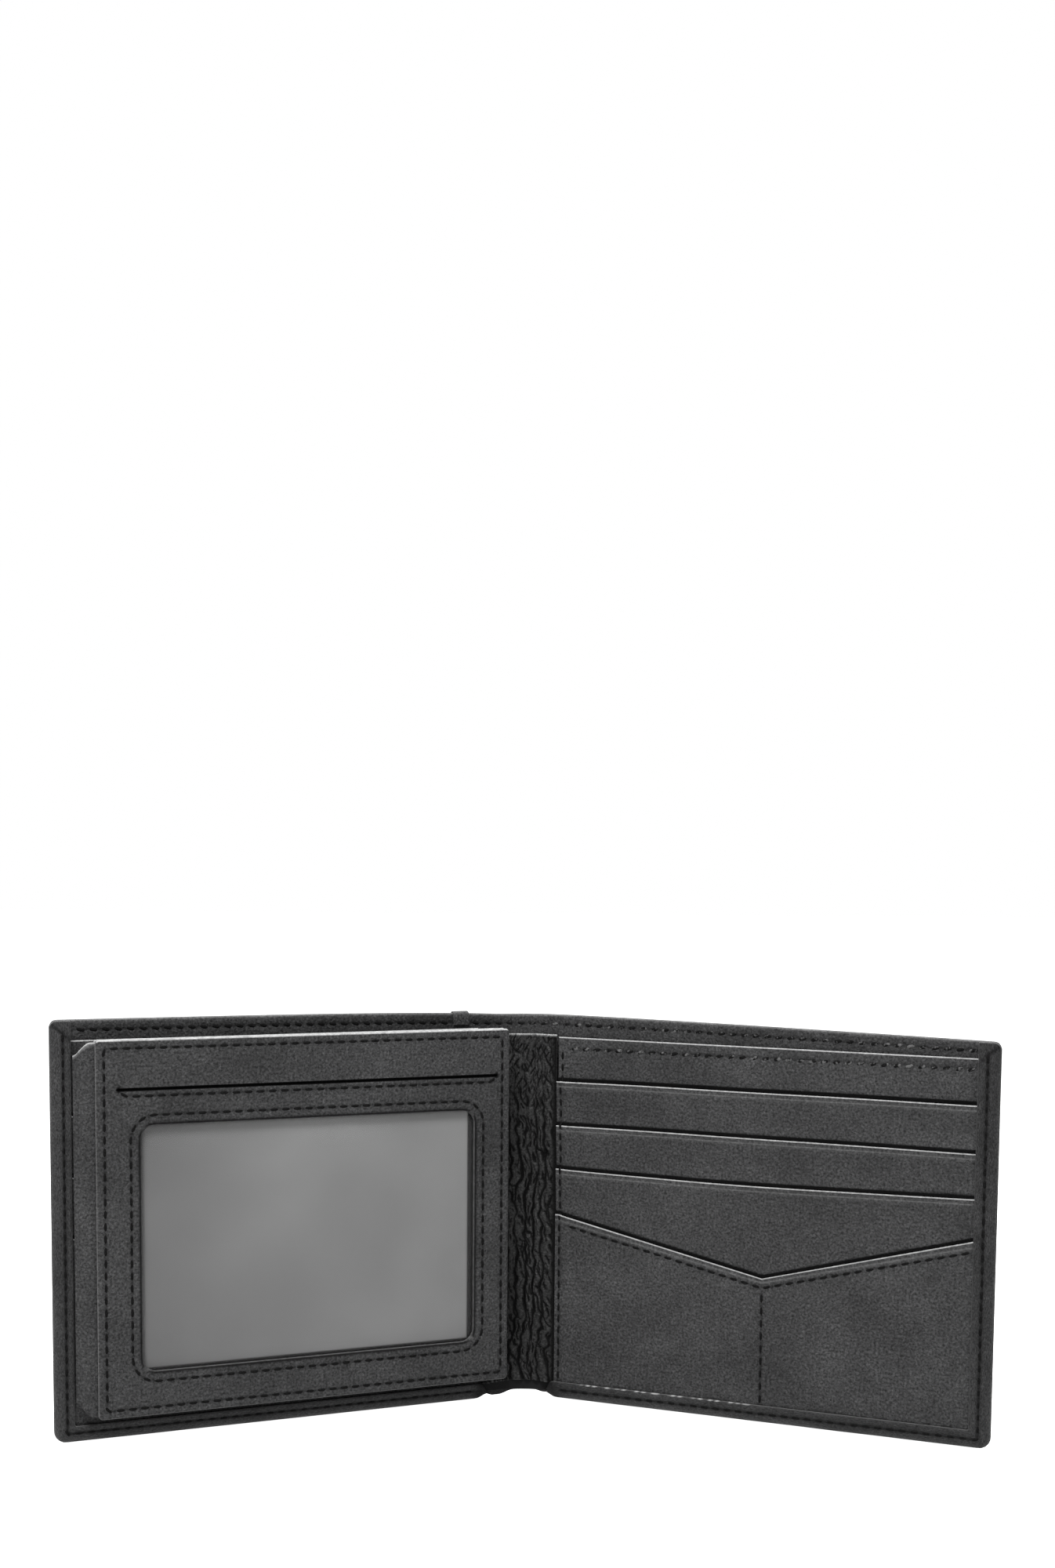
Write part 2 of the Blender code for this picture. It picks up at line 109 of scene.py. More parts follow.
def grid_lines(start, end, step, places=()):
    """Positions from start to end, at most step apart, that go through the given places."""
    kept = [start]
    for place in sorted(p for p in places if start < p < end):
        if place - kept[-1] > 0.015:
            kept.append(place)
    if end - kept[-1] <= 0.015 and len(kept) > 1:
        kept.pop()
    kept.append(end)
    lines = [start]
    for a, b in zip(kept, kept[1:]):
        count = max(1, math.ceil((b - a) / step))
        lines += [a + (b - a) * k / count for k in range(1, count + 1)]
    return np.array(lines)


def rim_lines(edge, inwards, radius):
    return [edge + inwards * radius * k for k in (0.06, 0.22, 0.5, 1.0, 1.7)]


def plain_lines(span, radius, step=1.6, places=()):
    """Lines across a sheet whose two rims have that radius."""
    ends = [*rim_lines(span[0], 1, radius), *rim_lines(span[1], -1, radius)]
    return grid_lines(*span, step, [*ends, *places])


def seam_lines(place):
    return [place + k for k in (-0.85, -0.5, -0.28, -0.1, 0.1, 0.28, 0.5, 0.85)]


def along_path(u, v, path):
    """(distance from the path, length along it) of each point."""
    best = np.full(np.shape(u), 1e9)
    run = np.zeros(np.shape(u))
    before = 0.0
    for (u0, v0), (u1, v1) in zip(path, path[1:]):
        length = math.hypot(u1 - u0, v1 - v0)
        t = ((u - u0) * (u1 - u0) + (v - v0) * (v1 - v0)) / length**2
        t = np.clip(t, 0, 1)
        gap = np.hypot(u - u0 - t * (u1 - u0), v - v0 - t * (v1 - v0))
        closer = gap < best
        best = np.where(closer, gap, best)
        run = np.where(closer, before + t * length, run)
        before += length
    return best, run


def groove(u, v, *paths, depth=0.13):
    """How far the leather is pulled in along its seams, most where the thread goes down."""
    total = 0.0
    for path in paths:
        gap, run = along_path(u, v, path)
        pull = 0.75 + 0.25 * np.cos(2 * math.pi * run / PITCH)
        total = total + depth * pull * np.exp(-((gap / 0.36) ** 2))
    return total


def seam_shade(u, v, *paths, strength=0.45):
    """Painted shade in the groove of a seam: up to strength down in it, 0 away from it."""
    total = 0.0
    for path in paths:
        gap, _ = along_path(u, v, path)
        total = np.maximum(total, strength * np.exp(-((gap / 0.34) ** 2)))
    return total


def rounded_path(sides, rise, radius, steps=6):
    (u0, u1), (v0, v1) = sides, rise
    centres = ((u0, v0, 1, 1), (u1, v0, -1, 1), (u1, v1, -1, -1), (u0, v1, 1, -1))
    path = []
    for number, (u, v, du, dv) in enumerate(centres):
        for step in range(steps + 1):
            angle = math.pi + math.pi / 2 * (number + step / steps)
            path.append((u + radius * (du + math.cos(angle)), v + radius * (dv + math.sin(angle))))
    return path + path[:1]


def grown(span, margin):
    return (span[0] - margin, span[1] + margin)


def rounded_distance(u, v, sides, rise, radius):
    """Distance outside a rounded rectangle, negative inside it."""
    across = np.abs(u - sum(sides) / 2) - (sides[1] - sides[0]) / 2 + radius
    up = np.abs(v - sum(rise) / 2) - (rise[1] - rise[0]) / 2 + radius
    outside = np.hypot(np.maximum(across, 0), np.maximum(up, 0))
    return outside + np.minimum(np.maximum(across, up), 0) - radius


# ---------------------------------------------------------------- places in the row frame

def cover_line(u):
    """Plan view of the cover's outer face, as (x, y) on the right side."""
    angle = (u + SPINE_ARC) / SPINE_RADIUS
    arc_x = SPINE_RADIUS * np.sin(angle)
    arc_y = CREASE_Y + BULGE - SPINE_RADIUS + SPINE_RADIUS * np.cos(angle)
    leaf_x, leaf_y = HALF_SPINE + COSINE * u, CREASE_Y - SINE * u
    return np.where(u < 0, arc_x, leaf_x), np.where(u < 0, arc_y, leaf_y)


def eased_cover_line(u):
    lines = [cover_line(u + shift) for shift in (-1.2, -0.4, 0.4, 1.2)]
    return sum(x for x, _ in lines) / 4, sum(y for _, y in lines) / 4


def on_cover(side):
    """Leaf coordinates to the row frame, round the spine as well."""
    def place(u, v, w):
        x, y = eased_cover_line(u)
        x1, y1 = eased_cover_line(u + 0.05)
        x0, y0 = eased_cover_line(u - 0.05)
        length = np.hypot(x1 - x0, y1 - y0)
        along_x, along_y = (x1 - x0) / length, (y1 - y0) / length
        return np.stack([side * (x + along_y * w), y - along_x * w, v + 0 * u], -1)
    return place


def on_leaf(side):
    def place(u, v, w):
        x = side * (HALF_SPINE + COSINE * u - SINE * w)
        return np.stack([x, CREASE_Y - SINE * u - COSINE * w, v + 0 * u], -1)
    return place


# ---------------------------------------------------------------- meshes

def grid_cells(index):
    return np.stack([index[:-1, :-1], index[1:, :-1], index[1:, 1:], index[:-1, 1:]], -1).reshape(-1, 4)


def without_repeats(faces):
    """Four-cornered faces as lists, with repeated corners merged and collapsed faces dropped."""
    repeated = (faces == np.roll(faces, -1, axis=1)).any(axis=1)
    kept = faces[~repeated].tolist()
    for face in faces[repeated].tolist():
        corners = [c for k, c in enumerate(face) if c != face[k - 1]]
        if len(set(corners)) == len(corners) and len(corners) > 2:
            kept.append(corners)
    return kept


def link(name, data):
    obj = bpy.data.objects.new(name, data)
    bpy.context.scene.collection.objects.link(obj)
    return obj


def make_piece(name, points, faces, finish, flat=None, edge=None, shade=None):
    """An object from points in mm. flat is where each point is on its flat leather, for the textures."""
    material, slot = finish
    used = np.zeros(len(points), bool)
    for face in faces:
        used[face] = True
    number = np.cumsum(used) - 1
    faces = [[int(number[c]) for c in face] for face in faces]
    points = points[used]
    tris = np.array([(f[0], f[k], f[k + 1]) for f in faces for k in range(1, len(f) - 1)])
    a, b, c = (points[tris[:, k]] - points.mean(axis=0) for k in range(3))
    if np.einsum("ij,ij->i", a, np.cross(b, c)).sum() < 0:
        faces = [face[::-1] for face in faces]
    mesh = bpy.data.meshes.new(name)
    mesh.from_pydata((points * MM).tolist(), [], faces)
    mesh.validate()
    mesh.shade_smooth()
    flat = points if flat is None else flat[used]
    layer = mesh.attributes.new("flat", "FLOAT_VECTOR", "POINT")
    layer.data.foreach_set("vector", np.ascontiguousarray(flat, np.float32).ravel())
    for label, values in (("edge", edge), ("shade", shade)):
        values = np.zeros(len(points)) if values is None else values[used]
        layer = mesh.attributes.new(label, "FLOAT", "POINT")
        layer.data.foreach_set("value", np.ascontiguousarray(values, np.float32))
    mesh.materials.append(material)
    obj = link(name, mesh)
    return obj


def settle(piece, body, *nodes):
    """The piece rides on the body and stands for the CAD nodes."""
    if nodes:
        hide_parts(*nodes)
    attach(piece, body)


def thick(name, cells, front, back, finish, flat, edge, shade, back_shade=None):
    """A closed piece from two matching faces. Where they meet in a point they share it."""
    count = len(front)
    apart = np.linalg.norm(front - back, axis=1) > 1e-5
    partner = np.arange(count)
    partner[apart] = count + np.arange(apart.sum())
    cells = cells[(cells[:, 0] != cells[:, 2]) & (cells[:, 1] != cells[:, 3])]
    ends = np.stack([cells, np.roll(cells, -1, axis=1)], -1).reshape(-1, 2)
    ends = ends[ends[:, 0] != ends[:, 1]]
    key = np.sort(ends, axis=1)
    _, first, times = np.unique(key, axis=0, return_index=True, return_counts=True)
    rim = ends[first[times == 1]]
    rim_faces = np.stack([rim[:, 1], rim[:, 0], partner[rim[:, 0]], partner[rim[:, 1]]], -1)
    faces = without_repeats(cells) + without_repeats(partner[cells][:, ::-1])
    faces += without_repeats(rim_faces)
    behind = flat[apart] + np.array([0.0, 0.0, 9.0])
    points = np.concatenate([front, back[apart]])
    back_shade = shade if back_shade is None else back_shade
    return make_piece(
        name, points, faces, finish, np.concatenate([flat, behind]),
        np.concatenate([edge, edge[apart]]), np.concatenate([shade, back_shade[apart]]),
    )


def rim_fullness(gaps, radius):
    """1 on the flat of a sheet and 0 at its edges, so that its rim is round."""
    total = sum(np.clip(1 - gap / radius, 0, 1) ** 2 for gap in gaps)
    return np.sqrt(np.clip(1 - total, 0, 1))


def snapped(u, v, keep, distance):
    """Moves the corners at a hole's edge onto it."""
    near = np.zeros(u.shape, int)
    for i in (slice(None, -1), slice(1, None)):
        for j in (slice(None, -1), slice(1, None)):
            near[i, j] += keep
    away = distance(u, v)
    on_rim = (near > 0) & (near < 4) & (np.abs(away) < 1.0)
    du = (distance(u + 0.01, v) - away) / 0.01
    dv = (distance(u, v + 0.01) - away) / 0.01
    return np.where(on_rim, u - away * du, u), np.where(on_rim, v - away * dv, v), on_rim


def sheet_piece(
    name, us, vs, back, front, place, finish,
    seed=0, shape=None, hole=None, bright=(), reach=0.4, shade=None, crease_highlight=0.0, square=(),
):
    """A sheet between its back and front, which are functions of (u, v). bright names the edges that are
    painted pale, reach wide: their edge paint and a painted highlight on them. square names the edges that
    stay as they are cut.
    """
    u, v = np.meshgrid(us, vs, indexing="ij")
    gaps = {"near": u - us[0], "far": us[-1] - u, "bottom": v - vs[0], "top": vs[-1] - v}
    cells = grid_cells(np.arange(u.size).reshape(u.shape))
    if hole is not None:
        keep = hole((u[:-1, :-1] + u[1:, 1:]) / 2, (v[:-1, :-1] + v[1:, 1:]) / 2) > 0
        u, v, on_rim = snapped(u, v, keep, hole)
        gaps["hole"] = np.where(on_rim, 0, np.maximum(hole(u, v), 0))
        cells = cells[keep.ravel()]
    if shape is not None:
        u, v = shape(u, v)
    low, high = back(u, v), front(u, v)
    radius = (high - low) / 2
    full = rim_fullness([gap for side, gap in gaps.items() if side not in square], radius)
    middle = (high + low) / 2
    # Every rim is painted a little paler: partly its edge paint, partly a painted highlight on its round edge.
    edge = 0.3 * (1 - smooth(full, 0.3, 0.95))
    for side in bright:
        edge = np.maximum(edge, 1 - smooth(gaps[side], reach * 0.6, reach))
        # A faint painted highlight along a crease about 1.15 mm below each bright edge.
        edge = np.maximum(edge, crease_highlight * np.exp(-(((gaps[side] - 1.15) / 0.16) ** 2)))
    flat = np.stack([u + 37.7 * seed, v + 11.3 * seed, 0 * u], -1).reshape(-1, 3)
    faces = [place(u, v, middle + way * radius * full).reshape(-1, 3) for way in (1, -1)]
    dark = 0.0 * u if shade is None else shade(u, v) + 0 * u
    return thick(name, cells, *faces, finish, flat, edge.ravel(), dark.ravel())


def stitches(name, path, surface, place, finish, slant=0.0, outwards=1, bold=0.29):
    """Thread seen along a seam, as one mesh: a short arched bead for each stitch."""
    points, faces = [], []
    stations = np.array([-1, -0.86, -0.5, 0, 0.5, 0.86, 1])
    ring = np.arange(8) * math.pi / 4
    half_length = 1.04
    taper = np.sqrt(np.clip(1 - np.abs(stations) ** 3.5, 0.06, 1))[:, None]
    spread = bold * taper * np.cos(ring)
    up = (0.06 - 0.24 * np.abs(stations) ** 3)[:, None] + 0.15 * taper * np.sin(ring)
    turn = np.array(((math.cos(slant), -math.sin(slant)), (math.sin(slant), math.cos(slant))))
    path = np.array(path, float)
    runs = np.concatenate([[0], np.cumsum(np.hypot(*np.diff(path, axis=0).T))])
    count = int((runs[-1] - 0.6) / PITCH)
    pitch = runs[-1] / max(count, 1)
    for number in range(count):
        run = (number + 0.5) * pitch
        ends = [np.array([np.interp(run + d, runs, path[:, k]) for k in (0, 1)]) for d in (-0.9, 0, 0.9)]
        along = turn @ ((ends[2] - ends[0]) / np.linalg.norm(ends[2] - ends[0]))
        base = ends[1] + stations[:, None] * half_length * along
        u, v = base[:, :1] - along[1] * spread, base[:, 1:] + along[0] * spread
        w = surface(base[:, :1] + 0 * u, base[:, 1:] + 0 * v) + outwards * up
        index = len(points) * u.size + np.arange(u.size).reshape(u.shape)
        points.append(place(u, v, w).reshape(-1, 3))
        faces += grid_cells(np.hstack([index, index[:, :1]])).tolist()
        faces += [index[0].tolist(), index[-1][::-1].tolist()]
    return make_piece(name, np.concatenate(points), faces, finish)


# ---------------------------------------------------------------- materials

class Net:
    """A new material's nodes. Wherever a value is asked for, it is a number, a colour or a node's output."""

    def __init__(self, name):
        self.material = bpy.data.materials.new(name)
        self.material.use_nodes = True
        self.nodes = self.material.node_tree.nodes

    def fill(self, inputs, values):
        for name, value in values.items():
            if isinstance(value, bpy.types.NodeSocket):
                self.material.node_tree.links.new(value, inputs[name])
            else:
                inputs[name].default_value = value

    def shader(self, **values):
        """Sets the shader's inputs, whose names are written with _ for a space."""
        inputs = self.nodes["Principled BSDF"].inputs
        self.fill(inputs, {name.replace("_", " "): value for name, value in values.items()})

    def node(self, kind, output, values, **settings):
        node = self.nodes.new("ShaderNode" + kind)
        for name, value in settings.items():
            setattr(node, name, value)
        self.fill(node.inputs, values)
        return node.outputs[output]

    def attribute(self, name, output="Fac"):
        return self.node("Attribute", output, {}, attribute_name=name)

    def noise(self, coords, scale, detail=3.0, roughness=0.55, distortion=0.0):
        values = {"Vector": coords, "Scale": scale, "Detail": detail}
        return self.node("TexNoise", "Fac", {**values, "Roughness": roughness, "Distortion": distortion})

    def mapped(self, value, low, high, start=0.3, end=0.7):
        values = {"Value": value, "From Min": start, "From Max": end, "To Min": low, "To Max": high}
        return self.node("MapRange", "Result", values)

    def maths(self, operation, *values):
        return self.node("Math", 0, dict(enumerate(values)), operation=operation)

    def product(self, first, *rest):
        for factor in rest:
            first = self.maths("MULTIPLY", first, factor)
        return first

    def scaled(self, colour, factor):
        return self.node("VectorMath", 0, {0: colour, "Scale": factor}, operation="SCALE")

    def bump(self, height, distance, strength, below=None):
        values = {"Height": height, "Distance": distance * MM, "Strength": strength}
        return self.node("Bump", "Normal", values if below is None else {**values, "Normal": below})


def leather(name, colour, rough, grain=1.0, clouds=0.25):
    """Dyed leather: cloudy tone, pebbled grain and soft creases, darkened by painted shade, and paler on its
    edges, unevenly: their edge paint and a painted highlight.
    """
    net = Net(name)
    flat, edge, shade = net.attribute("flat", "Vector"), net.attribute("edge"), net.attribute("shade")
    patches = net.noise(flat, 0.05, 4.0, 0.6, 0.4)
    blotches = net.noise(flat, 0.35, 4.0)
    wobble = net.node("TexNoise", "Color", {"Vector": flat, "Scale": 1.5})
    bent = net.node("VectorMath", 0, {0: flat, 1: wobble}, operation="ADD")
    pebbles = net.node("TexVoronoi", "Distance", {"Vector": bent, "Scale": 1.55})
    relief = net.mapped(pebbles, 1.0, 0.0, 0.0, 0.75)
    specks = net.noise(flat, 1.9, 3.0, 0.7)
    turned = {"Rotation": (0.0, 0.0, math.radians(40)), "Scale": (1.0, 0.22, 1.0)}
    streaks = net.noise(net.node("Mapping", "Vector", {"Vector": flat, **turned}), 1.3, 3.0, 0.6, 0.6)
    # The tone's last factor is painted shade, from the shade attribute.
    tone = net.product(
        net.mapped(patches, 1 - clouds, 1 + clouds), net.mapped(blotches, 0.9, 1.1),
        net.mapped(specks, 0.18, 1.82), net.mapped(streaks, 0.9, 1.1),
        net.mapped(relief, 0.7, 1.15, 0.0, 1.0), net.mapped(shade, 1.0, 0.03, 0.0, 1.0),
    )
    # Paler edges, broken by noise: partly edge paint, partly a painted highlight on the rounded edges.
    edge_paint_and_highlight = net.product(net.mapped(net.noise(flat, 0.9, 3.0), 0.5, 1.0), edge)
    layers = {"Factor": edge_paint_and_highlight, "A": net.scaled(colour, tone), "B": (0.19, 0.19, 0.19, 1.0)}
    shine = net.mapped(patches, rough + 0.08, rough - 0.08)
    normal = net.bump(net.noise(flat, 0.22, 5.0, 0.65, 1.2), 0.5 * grain, 0.4)
    for height, distance, strength in ((relief, 0.12, 0.6), (specks, 0.2, 0.6), (streaks, 0.08, 0.5)):
        normal = net.bump(height, distance * grain, strength, normal)
    net.shader(
        Base_Color=net.node("Mix", "Result", layers, data_type="RGBA"),
        Roughness=net.maths("ADD", shine, net.mapped(shade, 0.0, 0.4, 0.0, 1.0)),
        Specular_IOR_Level=0.07, Normal=normal,
    )
    return net.material


def cloth(name, colour, threads, rough, sheen, clouds=0.15, relief=0.03):
    """A fine plain weave with that many threads to the millimetre, or none where the relief is 0."""
    net = Net(name)
    flat = net.attribute("flat", "Vector")
    ways = [net.node("SeparateXYZ", k, {0: flat}) for k in (0, 1)]
    waves = [net.maths("SINE", net.maths("MULTIPLY", way, 2 * math.pi * threads)) for way in ways]
    weave = net.mapped(net.maths("MULTIPLY", *waves), 0.0, 1.0, -1.0, 1.0)
    tone = net.product(
        net.mapped(weave, 1 - relief, 1 + relief, 0.0, 1.0),
        net.mapped(net.noise(flat, 0.035, 3.0, 0.5, 0.3), 1 - clouds, 1 + clouds),
        net.mapped(net.noise(flat, 1.7), 0.98, 1.02),
        # painted shade, from the shade attribute
        net.mapped(net.attribute("shade"), 1.0, 0.02, 0.0, 1.0),
    )
    net.shader(
        Base_Color=net.scaled(colour, tone), Roughness=rough, Specular_IOR_Level=0.1, Sheen_Weight=sheen
    )
    if relief:
        net.shader(Normal=net.bump(weave, relief, 0.4))
    return net.material


def film_material(name):
    net = Net(name)
    waves = net.noise(net.attribute("flat", "Vector"), 0.03, 2.0, 0.45, 0.5)
    net.shader(
        Base_Color=(0.07, 0.07, 0.07, 1.0), Alpha=0.06, Roughness=net.mapped(waves, 0.26, 0.14),
        Normal=net.bump(waves, 0.6, 0.25),
    )
    return net.material


def thread_material(name, painted_glint=0.0):
    """Black thread, with painted glints here and there."""
    net = Net(name)
    flat = net.attribute("flat", "Vector")
    ply = net.noise(flat, 3.2, 2.0)
    painted_glints = net.mapped(net.noise(flat, 1.1, 1.0), 0.0, painted_glint, 0.5, 0.66)
    tone = net.maths("ADD", net.mapped(ply, 0.5, 1.6), painted_glints)
    net.shader(
        Base_Color=net.scaled((0.003, 0.003, 0.003), tone), Roughness=0.6, Specular_IOR_Level=0.02,
        Normal=net.bump(ply, 0.06, 0.5),
    )
    return net.material


# Each finish is a material and the record's slot that it belongs to.
SHELL = leather("shell_leather_finish", (0.0185, 0.0185, 0.0188), 0.5), "shell_leather"
POCKET = leather("pocket_leather_finish", (0.0225, 0.0225, 0.0229), 0.5), "pocket_leather"
GUSSET = leather("gusset_leather_finish", (0.0155, 0.0155, 0.0155), 0.42, grain=1.2), "gusset_leather"
# The lining is near black: partly the cloth's own dark colour, partly painted shade for the wallet's dark inside.
LINING = cloth("lining_fabric_finish", (0.004, 0.004, 0.0042), 3.0, 0.85, 0.02), "lining_fabric"
DIVIDER_GREY = (0.105, 0.105, 0.105)
DIVIDER = cloth("divider_fabric_finish", DIVIDER_GREY, 2.2, 0.8, 0.0, clouds=0.12, relief=0.0), "divider_fabric"
FILM = film_material("window_film_finish"), "window_film"
THREAD = thread_material("thread_finish"), "thread"
# Black thread with painted glints, for the right leaf's top seams.
HEM_THREAD = thread_material("hem_thread_finish", painted_glint=16.0), "thread"


# ---------------------------------------------------------------- the outer shell

# The turned edge in section, from the lip's rim round to the flat cover: (distance in from the leaf's
# edge, w) of the outer face, then of the inner face.
SECTION = np.array((
    (4.00, 4.66, 4.00, 4.06), (3.97, 4.66, 3.97, 4.06), (3.89, 4.66, 3.89, 4.05), (3.70, 4.65, 3.70, 4.04),
    (3.30, 4.60, 3.30, 3.98), (2.95, 4.50, 2.95, 3.88), (2.70, 4.36, 2.70, 3.80), (2.40, 4.27, 2.40, 3.70),
    (2.10, 4.26, 2.20, 3.62), (1.85, 4.18, 2.00, 3.54), (1.50, 4.00, 1.80, 3.42), (1.10, 3.74, 1.55, 3.28),
    (0.75, 3.42, 1.35, 3.10), (0.45, 3.05, 1.18, 2.90), (0.20, 2.62, 1.06, 2.62), (0.05, 2.15, 1.00, 2.30),
    (0.00, 1.70, 1.00, 1.95), (0.08, 1.20, 1.02, 1.60), (0.28, 0.78, 1.15, 1.32), (0.60, 0.42, 1.40, 1.12),
    (1.00, 0.18, 1.70, 1.04), (1.50, 0.05, 2.00, 1.01), (2.10, 0.00, 2.35, 1.00), (2.40, 0.00, 2.60, 1.00),
    (2.80, 0.00, 2.90, 1.00), (3.40, 0.00, 3.40, 1.00), (4.60, 0.00, 4.60, 1.00), (6.00, 0.00, 6.00, 1.00),
))
WALL_ROW = 18  # from this row on, a section point is on the wall and not on the lip
BLOCK = 6.0
OUTER_CORNER, TOP_CORNER = 2.5, 1.5


def top_of(side, u):
    """Height of the leaf's top edge, which rises a little on the left leaf and falls on the right one."""
    if side == RIGHT:
        fall = 2.0 * np.clip(u / LEAF, 0, 1) ** 1.3
    else:
        fall = -1.15 * (1 - np.exp(-np.maximum(u + 2, 0) / 22))
    over = np.clip((u - (LEAF + OVERHANG[side] - TOP_CORNER)) / TOP_CORNER, 0, 1)
    return HEIGHT - fall - TOP_CORNER * (1 - np.sqrt(np.clip(1 - over**2, 0, 1)))


def lowered(side, u, v):
    """v with the leaf's sloping top edge taken up over its top quarter."""
    share = smooth(v, HEIGHT - 30, HEIGHT) if side == RIGHT else smooth(v, HEIGHT - 12, HEIGHT)
    return v - share * (HEIGHT - top_of(side, u))


def border_path(side):
    inset = BORDER_SEAM
    outer = LEAF + OVERHANG[side] - inset
    top = float(top_of(side, np.array(outer))) - inset
    return ((outer, top), (outer, inset), (START[side] + 1.65, inset))


def hem_path(side, start=None, end=SEAM_END):
    if start is None:
        start = 10.4 if side == LEFT else 2.8
    return [(u, float(top_of(side, np.array(u))) - HEM_SEAM) for u in np.linspace(start, end, 12)]


def mitre_path(side):
    """The diagonal fold where the turned side meets the hem."""
    outer = LEAF + OVERHANG[side]
    top = float(top_of(side, np.array(LEAF - 2.0)))
    return ((outer - 0.4, top - 1.0), (outer - 4.0, top - 4.2))


def corner_reach(cos, sin, inset):
    """How far a ray from the corner block's inner corner goes before it meets the outline at that inset."""
    half = BLOCK - inset
    square = half / np.maximum(cos, sin)
    radius = np.maximum(OUTER_CORNER - inset, 0.0)
    centre = half - radius
    u, v = square * cos, square * sin
    inside = (u > centre) & (v > centre) & (radius > 0)
    along = centre * (cos + sin)
    under = np.maximum(along**2 - 2 * centre**2 + radius**2, 0)
    return np.where(inside, along + np.sqrt(under), square)


def shell_skin(side):
    start, leaf = START[side], LEAF + OVERHANG[side]
    section = SECTION.copy()
    section[:WALL_ROW, (0, 2)] *= LIP_STRETCH[side]
    middle_lines = [k - SPINE_ARC for k in (0.04, 0.12, 0.3)]
    us = grid_lines(-SPINE_ARC, leaf - BLOCK, 0.8, [*middle_lines, start - 2, start, start + 2])
    vs = grid_lines(
        BLOCK, HEIGHT, 0.8,
        [HEIGHT - HEM_HEIGHT - 0.15, HEIGHT - HEM_HEIGHT + 0.15, *seam_lines(HEIGHT - HEM_SEAM), *rim_lines(HEIGHT, -1, 0.8)],
    )
    angles = np.radians(np.linspace(-90, 0, 14)[1:-1])
    rows = len(section)
    columns = len(us) + len(angles) + len(vs)

    def inset_points(inset):
        bottom = (np.broadcast_to(us[:, None], (len(us), rows)), np.broadcast_to(inset, (len(us), rows)))
        cos, sin = np.cos(angles)[:, None], -np.sin(angles)[:, None]
        reach = corner_reach(cos, sin, inset[None, :])
        corner = (leaf - BLOCK + reach * cos, BLOCK - reach * sin)
        outer = (np.broadcast_to(leaf - inset, (len(vs), rows)), np.broadcast_to(vs[:, None], (len(vs), rows)))
        return [np.concatenate([part[k] for part in (bottom, corner, outer)]) for k in (0, 1)]

    out_u, out_v = inset_points(section[:, 0])
    in_u, in_v = inset_points(section[:, 2])
    out_w = np.broadcast_to(section[:, 1], out_u.shape).copy()
    in_w = np.broadcast_to(section[:, 3], in_u.shape).copy()

    # Towards the spine the turned edge dies away into the cut edge of the cover.
    share = np.linspace(0, 1, rows) ** 3 * BLOCK
    bulge = 0.5 * np.sqrt(np.clip(1 - np.clip(1 - share / 0.5, 0, 1) ** 2, 0, 1))
    turned = smooth(us, start - 4.6, start + 0.6)[:, None]
    low = slice(0, len(us))
    out_v[low] = share + (out_v[low] - share) * turned
    in_v[low] = share + (in_v[low] - share) * turned
    raised = 1.0 * (1 - smooth(us, -6.5, -2.5))[:, None] * (1 - share / BLOCK)
    out_v[low] += raised
    in_v[low] += raised
    out_w[low] = 0.5 - bulge + (out_w[low] - 0.5 + bulge) * turned
    in_w[low] = 0.5 + bulge + (in_w[low] - 0.5 - bulge) * turned

    grid_u, grid_v = np.meshgrid(us, vs, indexing="ij")
    band_index = np.arange(columns * rows).reshape(columns, rows)
    corner_point = band_index[len(us) - 1, -1]
    band_index[len(us) - 1:len(us) + len(angles) + 1, -1] = corner_point
    grid_index = columns * rows + np.arange(grid_u.size).reshape(grid_u.shape)
    grid_index[:, 0] = band_index[:len(us), -1]
    grid_index[-1, :] = band_index[len(us) + len(angles):, -1]

    cells = np.concatenate([grid_cells(band_index), grid_cells(grid_index)])
    wall = np.concatenate([
        np.broadcast_to(np.arange(rows) >= WALL_ROW, (columns, rows)).ravel(), np.ones(grid_u.size, bool)
    ])
    rim_gap = np.concatenate([
        np.broadcast_to(section[0, 0] - section[:, 0], (columns, rows)).ravel(), np.full(grid_u.size, 9.0)
    ])
    rim_gap[:columns * rows][np.broadcast_to(np.arange(rows) > 8, (columns, rows)).ravel()] = 9.0
    out_u, in_u = (np.concatenate([part.ravel(), grid_u.ravel()]) for part in (out_u, in_u))
    out_v, in_v = (np.concatenate([part.ravel(), grid_v.ravel()]) for part in (out_v, in_v))
    out_w = np.concatenate([out_w.ravel(), np.zeros(grid_u.size)])
    in_w = np.concatenate([in_w.ravel(), np.ones(grid_u.size)])
    hem = smooth(in_v, HEIGHT - HEM_HEIGHT - 0.12, HEIGHT - HEM_HEIGHT + 0.12)
    in_w = in_w + np.where(wall, 0.6 * hem, 0)

    top_gap = HEIGHT - out_v
    half = np.hypot(out_u - in_u, out_w - in_w) / 2
    full = rim_fullness([top_gap, rim_gap], np.clip(half, 0.2, 0.8))
    out_v, in_v = lowered(side, out_u, out_v), lowered(side, in_u, in_v)

    whole_hem = hem_path(side, -SPINE_ARC)
    seams = [border_path(side), whole_hem]
    pull = groove(out_u, out_v, *seams, depth=0.14)
    mitre, _ = along_path(out_u, out_v, mitre_path(side))
    fold = np.exp(-((mitre / 0.3) ** 2)) * ~wall
    out_w = out_w - 0.12 * fold
    uneven = 0.05 * ripple(out_u, out_v, 16, 3 + side)
    outside = out_w < 0.3
    lip_front = ~wall
    out_w = out_w + np.where(outside, pull + uneven, 0) - np.where(lip_front, 0.6 * pull - uneven, 0)
    in_w = in_w + np.where(wall & (in_w > 1.3) & (in_v > 80), -groove(in_u, in_v, whole_hem, depth=0.14), 0)

